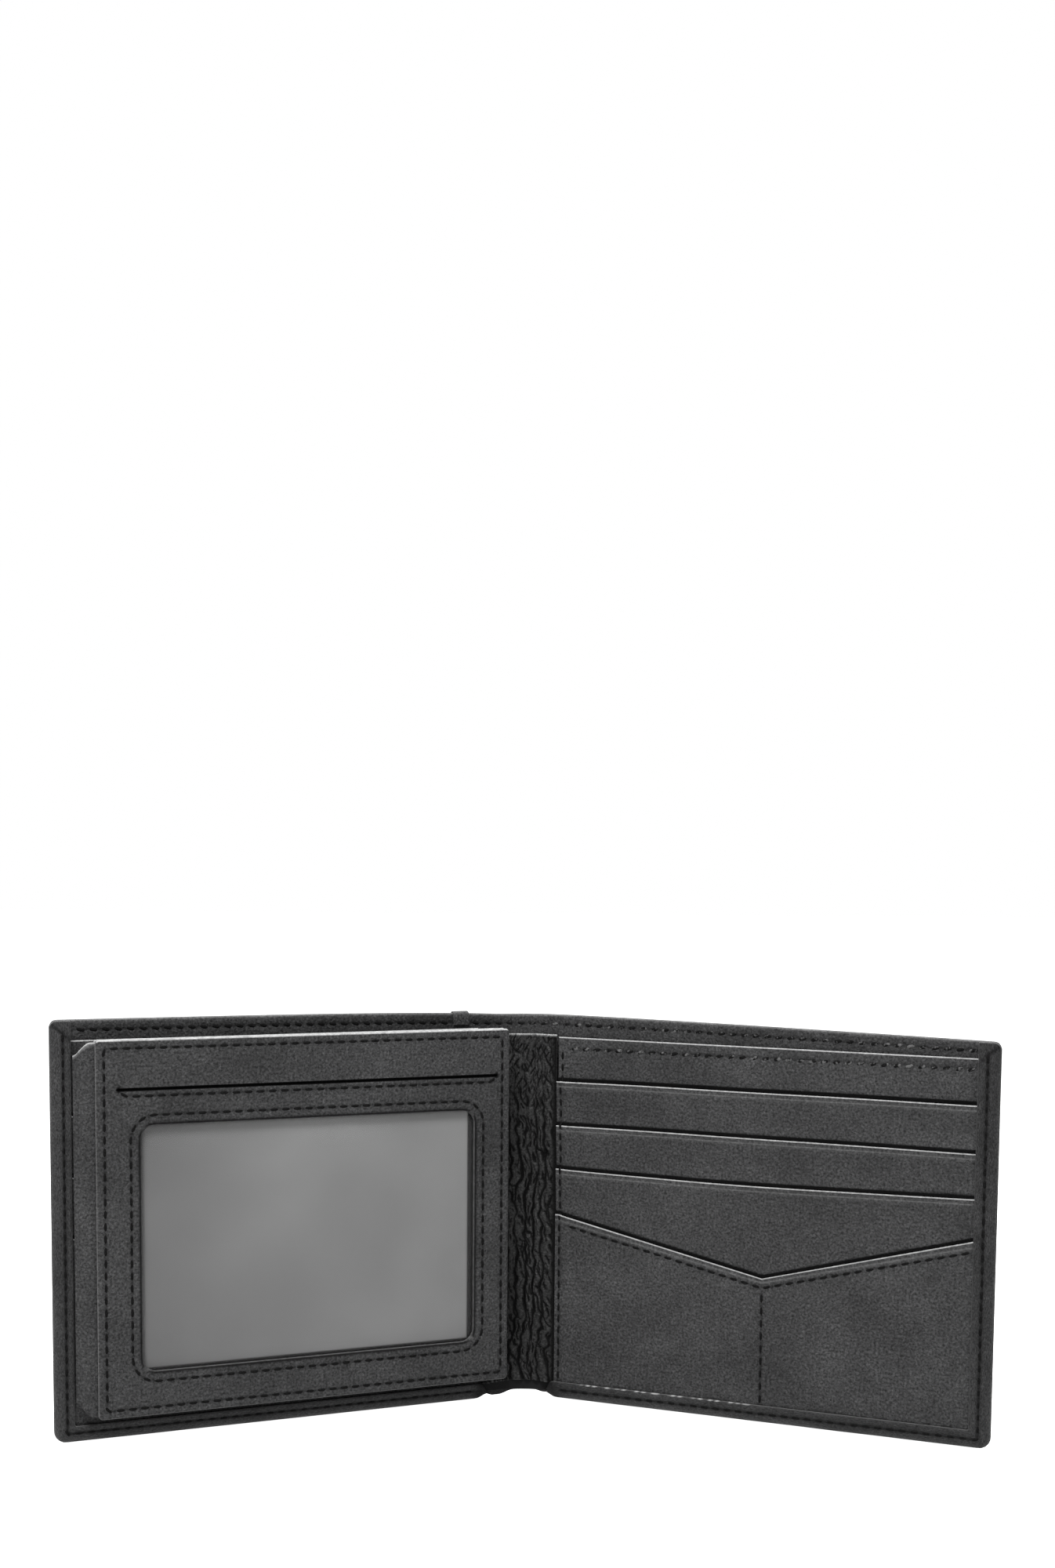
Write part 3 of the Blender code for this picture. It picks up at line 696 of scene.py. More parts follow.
    mid = [(a + b) / 2 for a, b in ((out_u, in_u), (out_v, in_v), (out_w, in_w))]
    outer = [m + (a - m) * full for m, a in zip(mid, (out_u, out_v, out_w))]
    inner = [m + (a - m) * full for m, a in zip(mid, (in_u, in_v, in_w))]
    place = on_cover(side)
    around = np.concatenate([np.broadcast_to(np.arange(rows) * 0.9, (columns, rows)).ravel(), np.full(grid_u.size, 25.0)])
    flat = np.stack([side * (out_u + SPINE_ARC), out_v, np.where(wall, out_w, around)], -1)
    # Every rim is painted a little paler: partly its edge paint, partly a painted highlight.
    edge = 0.3 * (1 - smooth(full, 0.3, 0.95))
    # Painted glints, broken, along the right lip's inner rim near the foot.
    if side == RIGHT:
        painted_lip_glints = smooth(out_u, 6, 9) * (1 - smooth(out_u, 42, 52)) * smooth(ripple(out_u, 0 * out_u, 1.7, 97), 0.0, 0.3)
        painted_lip_glints = painted_lip_glints * (out_v < 8) * (rim_gap < 0.32)
        edge = np.maximum(edge, 1.6 * painted_lip_glints)
    # Painted shade in the seams' grooves and the mitre fold.
    shade = np.maximum(seam_shade(out_u, out_v, *seams, strength=0.8), 0.8 * fold)
    # Painted shade where the lip dies away towards the spine.
    shade = np.maximum(shade, 0.75 * (1 - smooth(out_u, start - 0.5, start + 3)) * (out_v < BLOCK) * ~wall)
    # Painted shade on the inner face below the hem, inside the wallet, and in the hem seam's groove.
    inner_shade = np.where(wall & (in_v < HEIGHT - HEM_HEIGHT), 0.9, seam_shade(in_u, in_v, whole_hem))
    name = f"shell_skin_{WORD[side]}"
    return thick(name, cells, place(*outer), place(*inner), SHELL, flat, edge, shade, inner_shade)


def cover_point(side, u, w=1.5):
    point = on_cover(side)(np.array(float(u)), np.array(HEIGHT / 2), w)
    return tuple(point * MM)


def bend_at_crease(piece, side):
    cover_point(side, 2.6)
    cover_point(side, -4.6)
    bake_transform(piece)


for side in (LEFT, RIGHT):
    skin = shell_skin(side)
    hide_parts(f"shell_{WORD[side]}", "shell_spine")
    bend_at_crease(skin, side)


# ---------------------------------------------------------------- linings

def cloth_sheet(name, us, vs, layer, place, finish, seed, sag=0.03, shade=None):
    back, front = layer

    def wave(u, v):
        return sag * ripple(u, v, 22, seed)

    return sheet_piece(
        name, us, vs, lambda u, v: back + wave(u, v), lambda u, v: front + wave(u, v),
        place, finish, seed=seed, shade=shade,
    )


for side in (LEFT, RIGHT):
    word, start = WORD[side], START[side]
    us, vs = plain_lines((-SPINE_ARC, LEAF - 2.3), 0.08), plain_lines((1.3, HEIGHT - HEM_HEIGHT - 0.3), 0.08)
    lining = cloth_sheet(f"bill_lining_cloth_{word}", us, vs, (1.14, 1.3), on_cover(side), LINING, 5 + side)
    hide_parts(f"bill_lining_{word}", "bill_lining_spine")
    bend_at_crease(lining, side)

    us, vs = plain_lines((start + 0.3, LEAF - 1.5), 0.1), plain_lines((1.5, PANEL_TOP[side] - 1.4), 0.1)
    wall = cloth_sheet(f"bill_wall_cloth_{word}", us, vs, (1.87, 2.08), on_leaf(side), LINING, 8 + side)
    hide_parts(f"bill_wall_lining_{word}")
    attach(wall, BODY[side])


# ---------------------------------------------------------------- inner panels and card pockets

PANEL_FRONT, PANEL_BACK = 2.6, 2.2
MOUTH_FRONT, LEAN, LEAN_HEIGHT, POCKET_THICK = 4.0, 0.5, 8.0, 0.4


def press(side, u, v):
    """How much the layers are squeezed together under the turned edge, and a little at the spine side."""
    inset = np.minimum(LEAF - u, v)
    under_lip = np.interp(inset, (1.5, 1.8, 2.4, 3.0, 3.6, 4.6), (0.42, 0.46, 0.68, 0.8, 0.9, 1.0))
    near_spine = np.interp(u - START[side], (0.3, 1.35, 2.6), (0.9, 0.84, 1.0))
    return np.minimum(under_lip, near_spine)


def squeezed(side, u, v, w):
    return PANEL_FRONT + 0.06 + (w - PANEL_FRONT - 0.06) * press(side, u, v)


def pocket_seams(side):
    if side == LEFT:
        return []
    height = PANEL_TOP[RIGHT] - TOP_SEAM
    return [((START[RIGHT] + COLUMN, height), (START[RIGHT] + COLUMN, BORDER + 0.3))]


def sagging(side, number, u):
    """The right leaf's slot mouths run very slightly downhill, and none is quite straight."""
    along = np.clip(u / LEAF, 0, 1)
    droop = {1: 0.25 - 0.3 * along, 2: -0.25 - 0.45 * along, 3: -0.8 * np.sin(math.pi * along ** 0.85)}[number]
    return 0.06 * ripple(u, 0 * u, 60, 40 + side) + (droop if side == RIGHT else 0.0)


def mouth_line(side, number):
    return lambda u: MOUTHS[side][number - 1] + sagging(side, number, u)


def v_top(u):
    return np.interp(u, *zip(*V_MOUTH))


def pocket_front(side, mouth, seed, next_mouth=None):
    def front(u, v):
        top = mouth(u) if callable(mouth) else mouth
        w = MOUTH_FRONT - LEAN * (1 - smooth(v, top - LEAN_HEIGHT, top))
        w = w + 0.035 * ripple(u, v, 17, seed)
        w = squeezed(side, u, v, w) - groove(u, v, *pocket_seams(side), depth=0.1)
        if next_mouth is not None:
            w = w - 0.16 * slot_shade(v, next_mouth(u))
        return w
    return front


def slot_shade(v, mouth):
    """Painted shade for the dark gap seen just above a mouth that lies in front."""
    return 1 - smooth(v, mouth + 0.66, mouth + 0.94)


def under(front, side):
    def back(u, v):
        return front(u, v) - POCKET_THICK * press(side, u, v)
    return back


for side in (LEFT, RIGHT):
    word, start, top = WORD[side], START[side], PANEL_TOP[side]
    span = (start + 0.3, LEAF - LAYER_EDGE)
    radius = 0.2
    us = plain_lines(span, radius, STEP, seam_lines(start + COLUMN))

    seam_height = top - TOP_SEAM
    slot_lines = MOUTHS[side][0] + np.arange(-0.5, 1.5, 0.17)
    vs = grid_lines(1.8, top, STEP, [*rim_lines(top, -1, radius), *seam_lines(seam_height), top - 0.3, *slot_lines])
    panel_seam = ((2.6, seam_height), (SEAM_END, seam_height))

    def panel_front(u, v):
        seam_pull = groove(u, v, panel_seam) if side == RIGHT else 0.0
        return PANEL_FRONT + 0.02 * ripple(u, v, 19, 50 + side) - seam_pull

    def panel_shade(u, v):
        # Painted shade in the slot gap above the first mouth, and on the right in the top seam's groove.
        dark = slot_shade(v, mouth_line(side, 1)(u))
        return np.maximum(dark, seam_shade(u, v, panel_seam)) if side == RIGHT else dark

    def panel_back(u, v):
        return PANEL_BACK + 0.02 * ripple(u, v, 19, 50 + side)

    def panel_shape(u, v):
        fall = 0.6 if side == RIGHT else 0.2
        return u, v - fall * smooth(v, top - 25, top) * np.clip(u / LEAF, 0, 1)

    panel = sheet_piece(
        f"inner_panel_{word}", us, vs, panel_back, panel_front, on_leaf(side), POCKET,
        seed=2 + side, bright=("top",), reach=0.34, shape=panel_shape, shade=panel_shade,
    )
    settle(panel, BODY[side], f"panel_{word}")

    mouths = MOUTHS[side]
    last_bottom = 1.8 if side == LEFT else 29.0
    bottoms = [mouth - 1.0 for mouth in mouths[1:]] + [last_bottom]
    for number, (mouth, bottom) in enumerate(zip(mouths, bottoms), start=1):
        behind = mouth_line(side, number + 1) if number < 3 else v_top if side == RIGHT else None
        front = pocket_front(side, mouth, 20 * number + side, behind)

        def pocket_shade(u, v, behind=behind):
            # Painted shade in the seam's groove and in the slot gap above the next mouth.
            dark = seam_shade(u, v, *pocket_seams(side))
            if behind is not None:
                dark = np.maximum(dark, slot_shade(v, behind(u)))
            return dark

        near_edge = [mouth - k for k in (0.3, 0.45, 0.95, 1.15, 1.35)]
        if number < 3:
            near_edge += list(np.arange(mouths[number] - 0.9, mouths[number] + 1.3, 0.17))
        elif side == RIGHT:
            near_edge += list(np.arange(32, 46.6, 0.25))
        vs = plain_lines((bottom, mouth), radius, STEP, near_edge)
        pocket = sheet_piece(
            f"card_slot_{word}_{number}", us, vs, under(front, side), front, on_leaf(side), POCKET,
            seed=6 + 3 * number + side, bright=("top",), reach=0.3, shade=pocket_shade, crease_highlight=0.22,
            shape=lambda u, v, s=side, n=number: (u, v + sagging(s, n, u)),
        )
        settle(pocket, BODY[side], f"card_pocket_{word}_{number}")
        if bottom <= 1.8:
            continue
        tongue_top = bottom + 2.6
        rows = plain_lines((max(1.8, tongue_top - HEIGHT / 2), tongue_top), 0.05)
        back = 2.69 + 0.13 * (number - 1)
        tongue = cloth_sheet(
            f"slot_cloth_{word}_{number}", plain_lines((span[0] + 0.2, LEAF - 4.2), 0.05), rows, (back, back + 0.09),
            on_leaf(side), LINING, 30 + 4 * number + side, sag=0.0,
        )
        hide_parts(f"slot_lining_{word}_{number}")
        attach(tongue, BODY[side])


def v_front(u, v):
    w = MOUTH_FRONT + 0.035 * ripple(u, v, 21, 77)
    return squeezed(RIGHT, u, v, w) - groove(u, v, V_SEAM, V_DIVIDER, *pocket_seams(RIGHT), depth=0.12)


V_SEAM = ((3.0, 40.8), (49.3, 30.6), (SEAM_END, 42.4))
V_DIVIDER = ((49.3, 29.7), (49.3, BORDER + 0.3))
V_NOMINAL = 40.0
span = (START[RIGHT] + 0.3, LEAF - LAYER_EDGE)
us = plain_lines(span, 0.2, STEP, [*seam_lines(START[RIGHT] + COLUMN), *seam_lines(49.3), 49.3])
near_edge = [V_NOMINAL - k for k in (0.3, 0.45, 1, 1.15, 1.3)]
vs = grid_lines(LAYER_EDGE, V_NOMINAL, 0.4, [*rim_lines(V_NOMINAL, -1, 0.2), *near_edge])


def v_shape(u, v):
    return u, 1.8 + (v - 1.8) * (v_top(u) - 1.8) / (V_NOMINAL - 1.8)


v_pocket = sheet_piece(
    "v_slot_right", us, vs, under(v_front, RIGHT), v_front, on_leaf(RIGHT), POCKET,
    seed=21, shape=v_shape, bright=("top",), reach=0.32, crease_highlight=0.2,
    shade=lambda u, v: seam_shade(u, v, V_SEAM, V_DIVIDER, *pocket_seams(RIGHT)),
)
settle(v_pocket, "right_leaf", "v_pocket_right")


# ---------------------------------------------------------------- the ID flap

FRONT_LAYER, BACK_LAYER = (7.8, 8.7), (5.9, 6.7)
FLAP_SEAM = rounded_path(grown(FLAP_U, -1.8), grown(FLAP_V, -1.8), 0.8)
WINDOW_SEAM = rounded_path(grown(WINDOW_U, 2.2), grown(WINDOW_V, 2.2), WINDOW_CORNER + 2.2)
SLIT_SEAM = [
    (SLIT_U[0] + 0.1, SLIT_V - 0.3), (SLIT_U[0] + 1.6, SLIT_V - 1.4),
    (SLIT_U[1] - 1.6, SLIT_V - 1.4), (SLIT_U[1] - 0.1, SLIT_V - 0.3),
]
SLIT = ((SLIT_U[0], SLIT_V), (SLIT_U[1], SLIT_V))


def window_distance(u, v):
    return rounded_distance(u, v, WINDOW_U, WINDOW_V, WINDOW_CORNER)


def flap_lines(span, window, radius, more=()):
    places = [*rim_lines(span[0], 1, radius), *rim_lines(span[1], -1, radius), *more]
    places += [window[0], window[1], *rim_lines(window[0], -1, radius), *rim_lines(window[1], 1, radius)]
    for inset in (span[0] + 1.8, span[1] - 1.8, window[0] - 2.2, window[1] + 2.2):
        places += seam_lines(inset)
    return grid_lines(*span, STEP, places)


def round_corners(u, v, radius=1.0):
    (u0, u1), (v0, v1) = FLAP_U, FLAP_V
    a = np.clip(np.maximum(u0 + radius - u, u - u1 + radius) / radius, 0, 1)
    b = np.clip(np.maximum(v0 + radius - v, v - v1 + radius) / radius, 0, 1)
    pull_u = radius * a * (1 - np.sqrt(1 - b**2 / 2))
    pull_v = radius * b * (1 - np.sqrt(1 - a**2 / 2))
    return u - pull_u * np.sign(u - (u0 + u1) / 2), v - pull_v * np.sign(v - (v0 + v1) / 2)


def flap_front_face(u, v):
    slit_gap, _ = along_path(u, v, SLIT)
    cut = 0.78 * (1 - smooth(slit_gap, 0.2, 0.33))
    raised = 0.10 * np.exp(-(((slit_gap - 0.7) / 0.5) ** 2)) * (v < SLIT_V)
    uneven = 0.045 * ripple(u, v, 15, 90)
    pull = groove(u, v, FLAP_SEAM, WINDOW_SEAM, depth=0.13) + groove(u, v, SLIT_SEAM, depth=0.08)
    return FRONT_LAYER[1] + uneven - pull - cut + raised


def flap_shade(u, v):
    # Painted shade in the slit and at its ends, in a ring round the window's recess, and in the seams.
    slit_gap, _ = along_path(u, v, SLIT)
    ends = np.minimum(np.hypot(u - SLIT_U[0], v - SLIT_V), np.hypot(u - SLIT_U[1], v - SLIT_V))
    dark = np.maximum(1 - smooth(slit_gap, 0.3, 0.45), 1 - smooth(ends, 0.45, 0.75))
    wall = 0.9 * (1 - smooth(window_distance(u, v), 0.45, 0.85))
    return np.maximum(np.maximum(dark, wall), seam_shade(u, v, FLAP_SEAM, WINDOW_SEAM, SLIT_SEAM))


def flap_back_face(u, v):
    return BACK_LAYER[0] + 0.045 * ripple(u, v, 15, 91) + groove(u, v, FLAP_SEAM, WINDOW_SEAM, depth=0.12)


slit_lines = [SLIT_V + k for k in (-1.8, -1.55, -1.4, -1.2, -0.9, -0.6, -0.45, -0.33, -0.26, -0.2, 0, 0.2, 0.26, 0.33, 0.45)]
end_lines = [place + k for place in SLIT_U for k in (-0.3, -0.2, 0, 0.2)]
flap_us = flap_lines(FLAP_U, WINDOW_U, 0.4, end_lines)
flap_vs = flap_lines(FLAP_V, WINDOW_V, 0.4, slit_lines)
flap_front = sheet_piece(
    "flap_face_front", flap_us, flap_vs, lambda u, v: FRONT_LAYER[0] + 0 * u, flap_front_face, on_leaf(LEFT),
    POCKET, seed=1, hole=window_distance, shape=round_corners, bright=("top",), reach=0.4,
    shade=flap_shade,
)
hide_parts("flap_front")
flap_back = sheet_piece(
    "flap_face_back", flap_lines(FLAP_U, WINDOW_U, 0.4), flap_lines(FLAP_V, WINDOW_V, 0.4), flap_back_face,
    lambda u, v: BACK_LAYER[1] + 0 * u, on_leaf(LEFT), POCKET, seed=4,
    hole=window_distance, shape=round_corners, bright=("top",), reach=0.4,
    shade=lambda u, v: seam_shade(u, v, FLAP_SEAM, WINDOW_SEAM),
)
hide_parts("flap_back")

film_us, film_vs = plain_lines(grown(WINDOW_U, 1.7), 0.07, 2.5), plain_lines(grown(WINDOW_V, 1.7), 0.07, 2.5)
for word, (back, front), seed in (("front", (7.44, 7.58), 61), ("back", (6.78, 6.92), 62)):
    film = cloth_sheet(f"window_pane_{word}", film_us, film_vs, (back, front), on_leaf(LEFT), FILM, seed, sag=0.05)
    settle(film, "id_flap", f"window_film_{word}")
divider_us = plain_lines((FLAP_U[0] + 1.5, 88.0), 0.09)
divider_vs = plain_lines(grown(FLAP_V, -1.5), 0.09)


def divider_shade(u, v):
    """Painted shadow where the flap's leather stands over the divider, widest on the spine side and at the foot,
    and painted shade that grows towards the leaf's outer edge and the foot.
    """
    inside = np.minimum(u - WINDOW_U[0] - 1.1, v - WINDOW_V[0] - 0.55)
    inside = np.minimum(inside, np.minimum(WINDOW_U[1] - 0.3 - u, WINDOW_V[1] - 0.5 - v))
    dim = 0.3 * smooth(u, 35, 90) + 0.1 * (1 - smooth(v, 15, 60))
    return np.maximum(1 - smooth(inside, -0.25, 0.25), dim)


divider_us = np.unique(np.concatenate([divider_us, WINDOW_U[0] + 1.1 + np.linspace(-0.3, 0.3, 5)]))
divider_vs = np.unique(np.concatenate([divider_vs, WINDOW_V[0] + 0.55 + np.linspace(-0.3, 0.3, 5)]))
divider = cloth_sheet(
    "card_divider", divider_us, divider_vs, (7.08, 7.26), on_leaf(LEFT), DIVIDER, 64,
    sag=0.05, shade=divider_shade,
)
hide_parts("id_divider")
for piece in (flap_front, flap_back, divider):
    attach(piece, "id_flap")


# ---------------------------------------------------------------- strips: the flap's hinge and the top tab

def rounded_line(path, rounds=3):
    """The open path with its corners cut off, again and again."""
    points = np.array(path, float)
    for _ in range(rounds):
        ahead, behind = points[:-1] * 0.75 + points[1:] * 0.25, points[:-1] * 0.25 + points[1:] * 0.75
        inner = np.stack([ahead, behind], 1).reshape(-1, 2)
        points = np.concatenate([points[:1], inner, points[-1:]])
    return points


def on_strip(line, order, place):
    """Places (s, t, n): s along the line, t across the strip, and n out of it. order puts them into (u, v, w)."""
    steps = np.hypot(*np.diff(line, axis=0).T)
    runs = np.concatenate([[0], np.cumsum(steps)])

    def put(s, t, n):
        a, b = (np.interp(s, runs, line[:, k]) for k in (0, 1))
        a1, b1 = (np.interp(s + 0.15, runs, line[:, k]) for k in (0, 1))
        a0, b0 = (np.interp(s - 0.15, runs, line[:, k]) for k in (0, 1))
        length = np.hypot(a1 - a0, b1 - b0)
        first = a - (b1 - b0) / length * n
        second = b + (a1 - a0) / length * n
        values = {"uvw": (first, t, second), "vuw": (t, first, second)}[order]
        return place(*values)
    return put, float(runs[-1])


hinge_line = rounded_line(((88.3, 7.25), (94.3, 7.25), (96.1, 4.95)))
hinge_place, hinge_length = on_strip(hinge_line, "uvw", on_leaf(LEFT))
hinge_rise = grown(FLAP_V, -0.5)


def hinge_shape(s, v):
    middle = sum(hinge_rise) / 2
    taper = 2.8 * smooth(s, 4.6, hinge_length)
    return s, middle + (v - middle) * (1 - taper / (hinge_rise[1] - middle))


hinge = sheet_piece(
    "flap_hinge_leather",
    plain_lines((0, hinge_length), 0.25, 0.3), plain_lines(hinge_rise, 0.25, STEP),
    lambda s, v: -0.22 + 0.03 * ripple(s, v, 9, 70), lambda s, v: 0.22 + 0.03 * ripple(s, v, 9, 70),
    hinge_place, POCKET, seed=33, shape=hinge_shape, bright=("top",), reach=0.5,
)
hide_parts("flap_hinge_strip")
middle_height = np.array(HEIGHT / 2)
hinge_ends = [
    tuple(on_leaf(LEFT)(np.array(u), middle_height, np.array(w)) * MM) for u, w in ((96.0, 5.0), (92.8, 7.25))
]
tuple(hinge_ends[0])
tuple(hinge_ends[1])
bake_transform(hinge)

TAB_U = (5.8, 9.6)
tab_top = float(top_of(LEFT, np.array(sum(TAB_U) / 2))) + 0.25
tab_line = rounded_line(((tab_top - 3, -0.32), (tab_top, -0.32), (tab_top, 1.92), (tab_top - 3, 1.92)))
tab_place, tab_length = on_strip(tab_line, "vuw", on_leaf(LEFT))
tab = sheet_piece(
    "top_tab_leather",
    plain_lines((0, tab_length), 0.17, 0.25), plain_lines(TAB_U, 0.17, 0.35),
    lambda s, u: -0.17 + 0 * s, lambda s, u: 0.17 + 0 * s, tab_place, SHELL, seed=35,
)
settle(tab, "left_leaf", "top_fold_tab")


# ---------------------------------------------------------------- the gusset

GUSSET_V = (3.6, 84.5)
GUSSET_END = {LEFT: (10.0, -3.6), RIGHT: (7.0, -2.4)}
GUSSET_FLAT, GUSSET_DEEP = 1.6, 0.4


def crinkles(x, v):
    """0 on the gusset's smooth leather, up to about 1 in its creases, which wander, split and lean near the top."""
    wander = 0.9 * ripple(0 * x, v, 19, 81) + 0.5 * ripple(0.9 * x, v, 8, 82) + 0.28 * ripple(x, v, 3.5, 88)
    wide = 1 - np.abs(np.sin((x + wander) * math.pi / 2.1)) ** 0.6
    fine = 1 - np.abs(np.sin((x * 1.1 + 1.5 * wander + 0.4 * ripple(x, v, 2.4, 83)) * math.pi / 1.15)) ** 0.7
    lean = 1 - np.abs(np.sin((x * 0.9 - v * 0.5 + 0.7 * wander) * math.pi / 1.3)) ** 0.7
    cross = 1 - np.abs(np.sin((x * 0.9 + v * 0.45 + 0.9 * ripple(x, v, 4, 84)) * math.pi / 1.8)) ** 0.6
    top = smooth(v, 56, 78)
    patchy = 0.5 + 0.5 * ripple(x, v, 7, 85)
    creases = np.maximum(1.05 * (1 - 0.5 * top) * wide * (0.55 + 0.6 * patchy), 0.8 * fine * (0.35 + 0.6 * ripple(x, v, 5, 86)))
    creases = np.maximum(creases, 0.8 * top * lean * smooth(ripple(x, v, 3, 89), -0.45, 0.35))
    back = 1 - np.abs(np.sin((x * 1.2 + v * 0.35 + 1.2 * wander) * math.pi / 1.5)) ** 0.6
    creases = np.maximum(creases, 0.85 * back * smooth(ripple(x, v, 4, 90), -0.1, 0.5))
    return np.maximum(creases, 0.9 * cross * smooth(ripple(x, v, 6, 87), -0.2, 0.5))


for side in (LEFT, RIGHT):
    reach, depth = GUSSET_END[side]

    def gusset_place(s, v, n):
        share = np.clip((s - GUSSET_FLAT) / (reach - GUSSET_FLAT), 0, 1)
        y = GUSSET_DEEP + (depth - GUSSET_DEEP) * (1 - np.cos(math.pi * share)) / 2
        slope = (depth - GUSSET_DEEP) * math.pi / (2 * (reach - GUSSET_FLAT)) * np.sin(math.pi * share)
        length = np.hypot(1, slope)
        held = smooth(s, reach, reach - 1.3)
        rise = n + (0.32 - 0.8 * crinkles(side * s, v)) * held
        x = s + slope / length * rise
        return np.stack([side * x, CREASE_Y + y - rise / length, v + 0 * s], -1)

    gusset = sheet_piece(
        f"gusset_leather_{WORD[side]}", grid_lines(0, reach, 0.11, ()),
        plain_lines(GUSSET_V, 0.2, 0.3), lambda s, v: -0.2 + 0 * s, lambda s, v: 0.2 + 0 * s,
        gusset_place, GUSSET, seed=11 + side, bright=("top",), reach=0.4, square=("near",),
        # Painted shade in the creases and towards the gusset's outer end, where it runs in under the leaf's layers.
        shade=lambda s, v, side=side, reach=reach: np.maximum(
            0.98 * smooth(crinkles(side * s, v), 0.16, 0.52), smooth(s, reach - 1.5, reach - 0.3)
        ),
    )
    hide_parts("spine_gusset")
    ends = [
        tuple(float(k) * MM for k in gusset_place(np.array(float(s)), middle_height, 0.0)) for s in (reach, 2.0)
    ]
    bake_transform(gusset)


# ---------------------------------------------------------------- threads

def lip_face(side):
    insets, heights = SECTION[14::-1, 0] * LIP_STRETCH[side], SECTION[14::-1, 1]

    def face(u, v):
        return np.interp(np.minimum(LEAF + OVERHANG[side] - u, v), insets, heights) - 0.09
    return face


def flat_face(w):
    return lambda u, v: w + 0 * u


def right_face(u, v):
    """The visible face of the right leaf's stack."""
    w = PANEL_FRONT + 0 * u
    for number, mouth in enumerate(MOUTHS[RIGHT], start=1):
        behind = mouth_line(RIGHT, number + 1) if number < 3 else v_top
        w = np.where(v < mouth, pocket_front(RIGHT, mouth, 20 * number + RIGHT, behind)(u, v), w)
    return np.where(v < v_top(u), v_front(u, v), w)


def sew(name, path, surface, place, body, replaced=(), finish=THREAD, **facts):
    settle(stitches(name, path, surface, place, finish, **facts), body, *replaced)


for side in (LEFT, RIGHT):
    word, body, place = WORD[side], BODY[side], on_cover(side)
    spine_hem = hem_path(side, -SPINE_ARC, 2.7 if side == RIGHT else 5.5)
    for part, face, way in (("", 1.48, 1), ("_outside", 0.12, -1)):
        thread = stitches(f"stitches_hem_spine_{word}{part}", spine_hem, flat_face(face), place,
                          HEM_THREAD if side == RIGHT else THREAD, 0.2, way)
        bend_at_crease(thread, side)
    sew(f"stitches_border_{word}", border_path(side), lip_face(side), place, body, [f"thread_border_{word}"])
    sew(f"stitches_hem_{word}", hem_path(side), flat_face(1.5), place, body, [f"thread_hem_{word}"],
        finish=HEM_THREAD if side == RIGHT else THREAD, slant=0.3, bold=0.38)
    for part, path in (("border", border_path(side)), ("hem", hem_path(side))):
        sew(f"stitches_{part}_{word}_outside", path, flat_face(0.1), place, body, outwards=-1, slant=0.12)

right_place = on_leaf(RIGHT)
panel_seam_right = ((2.6, 81.4), (SEAM_END, 81.0))
column = ((START[RIGHT] + COLUMN, 81.0), (START[RIGHT] + COLUMN, BORDER + 0.5))
sew("stitches_panel_top_right", panel_seam_right, flat_face(PANEL_FRONT - 0.09), right_place, "right_leaf",
    ["thread_panel_top_right"], finish=HEM_THREAD, slant=0.3, bold=0.38)
sew("stitches_spine_side_right", column, right_face, right_place, "right_leaf", ["thread_spine_side_right"])
sew("stitches_v_edge", V_SEAM, v_front, right_place, "right_leaf", ["thread_v_edge"], slant=0.05)
sew("stitches_v_divider", V_DIVIDER, v_front, right_place, "right_leaf", ["thread_v_divider"])

left_place = on_leaf(LEFT)
sew("stitches_flap_edge", FLAP_SEAM, flap_front_face, left_place, "id_flap", ["thread_flap_edge"])
sew("stitches_window_front", WINDOW_SEAM, flap_front_face, left_place, "id_flap", ["thread_window_front"])
sew("stitches_window_back", WINDOW_SEAM, flap_back_face, left_place, "id_flap", ["thread_window_back"], outwards=-1)
sew("stitches_flap_edge_back", FLAP_SEAM, flap_back_face, left_place, "id_flap", outwards=-1)
sew("stitches_slit", SLIT_SEAM, flap_front_face, left_place, "id_flap", ["thread_slit"])


# ---------------------------------------------------------------- camera, floor and light

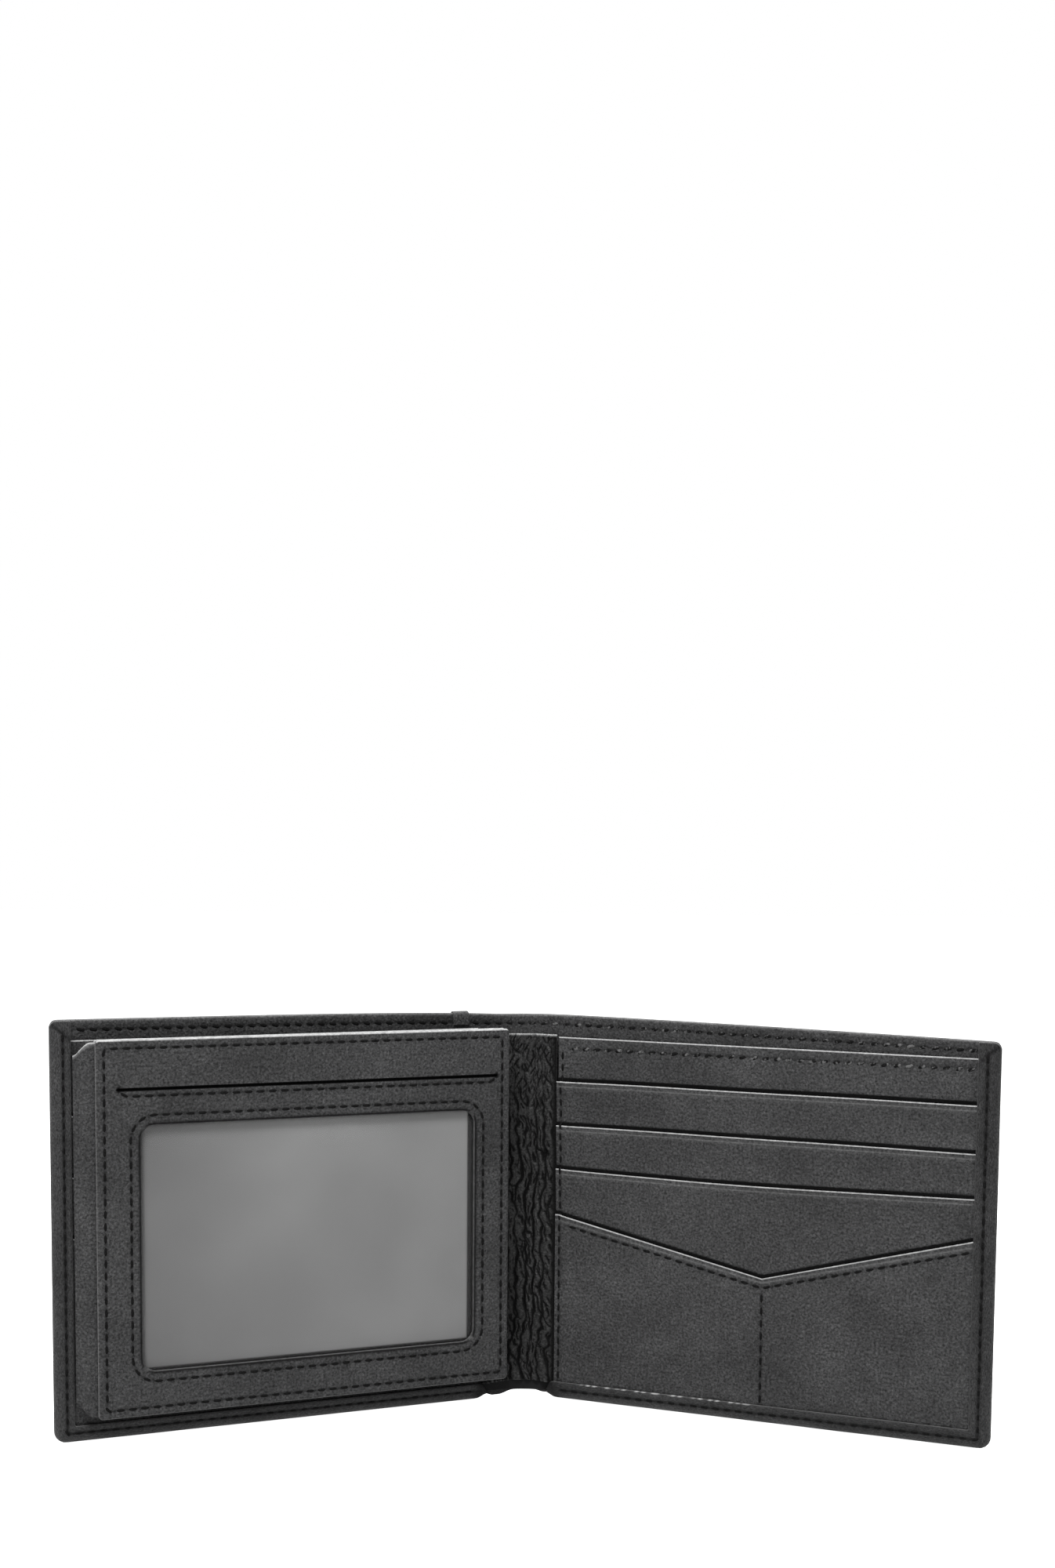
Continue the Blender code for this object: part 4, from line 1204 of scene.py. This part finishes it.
def add_camera():
    """The photograph's camera: its place, turned a little right, down and anticlockwise."""
    yaw, pitch, roll = 0.005, 0.090, 0.008
    ahead = Vector((math.sin(yaw) * math.cos(pitch), math.cos(yaw) * math.cos(pitch), -math.sin(pitch)))
    across = Vector((math.cos(yaw), -math.sin(yaw), 0))
    up = across.cross(ahead)
    turned_across = math.cos(roll) * across + math.sin(roll) * up
    turned_up = math.cos(roll) * up - math.sin(roll) * across
    data = bpy.data.cameras.new("camera")
    data.sensor_width = 36
    data.lens = 46.8
    data.shift_y = 0.1635
    data.clip_start = 0.01
    camera = link("camera", data)
    pose = Matrix((turned_across, turned_up, -ahead)).transposed().to_4x4()
    pose.translation = Vector((-2.1 * MM, -444.0 * MM, 124.9 * MM))
    camera.matrix_world = pose
    bpy.context.scene.camera = camera


def add_area(name, place, target, size, power):
    data = bpy.data.lights.new(name, "AREA")
    data.shape = "RECTANGLE"
    data.size, data.size_y = size
    data.energy = power
    light = link(name, data)
    light.location = place
    light.rotation_euler = (Vector(target) - Vector(place)).to_track_quat("-Z", "Y").to_euler()


def add_floor():
    mesh = bpy.data.meshes.new("floor")
    far, below = 4.0, 0.0002
    corners = [(x * far, y * far, -below) for x, y in ((-1, -1), (1, -1), (1, 1), (-1, 1))]
    mesh.from_pydata(corners, [], [(0, 1, 2, 3)])
    floor = link("floor", mesh)
    paint = Net("floor_paint")
    paint.shader(Base_Color=(0.35, 0.35, 0.35, 1.0), Roughness=0.9, Specular_IOR_Level=0.0)
    paint.shader(Emission_Color=(1.0, 1.0, 1.0, 1.0), Emission_Strength=1.0)
    mesh.materials.append(paint.material)


add_camera()
add_floor()
world = bpy.data.worlds.new("studio")
bpy.context.scene.world = world
world.use_nodes = True
world.node_tree.nodes["Background"].inputs["Color"].default_value = (1, 1, 1, 1)
world.node_tree.nodes["Background"].inputs["Strength"].default_value = 1.0
add_area("overhead", (0.0, 0.15, 0.55), (0.0, 0.0, 0.06), (0.7, 0.3), 8.0)
add_area("key", (-0.12, -0.42, 0.72), (0.0, 0.0, 0.05), (0.3, 0.2), 14.0)
bpy.context.scene.view_settings.view_transform = "Standard"
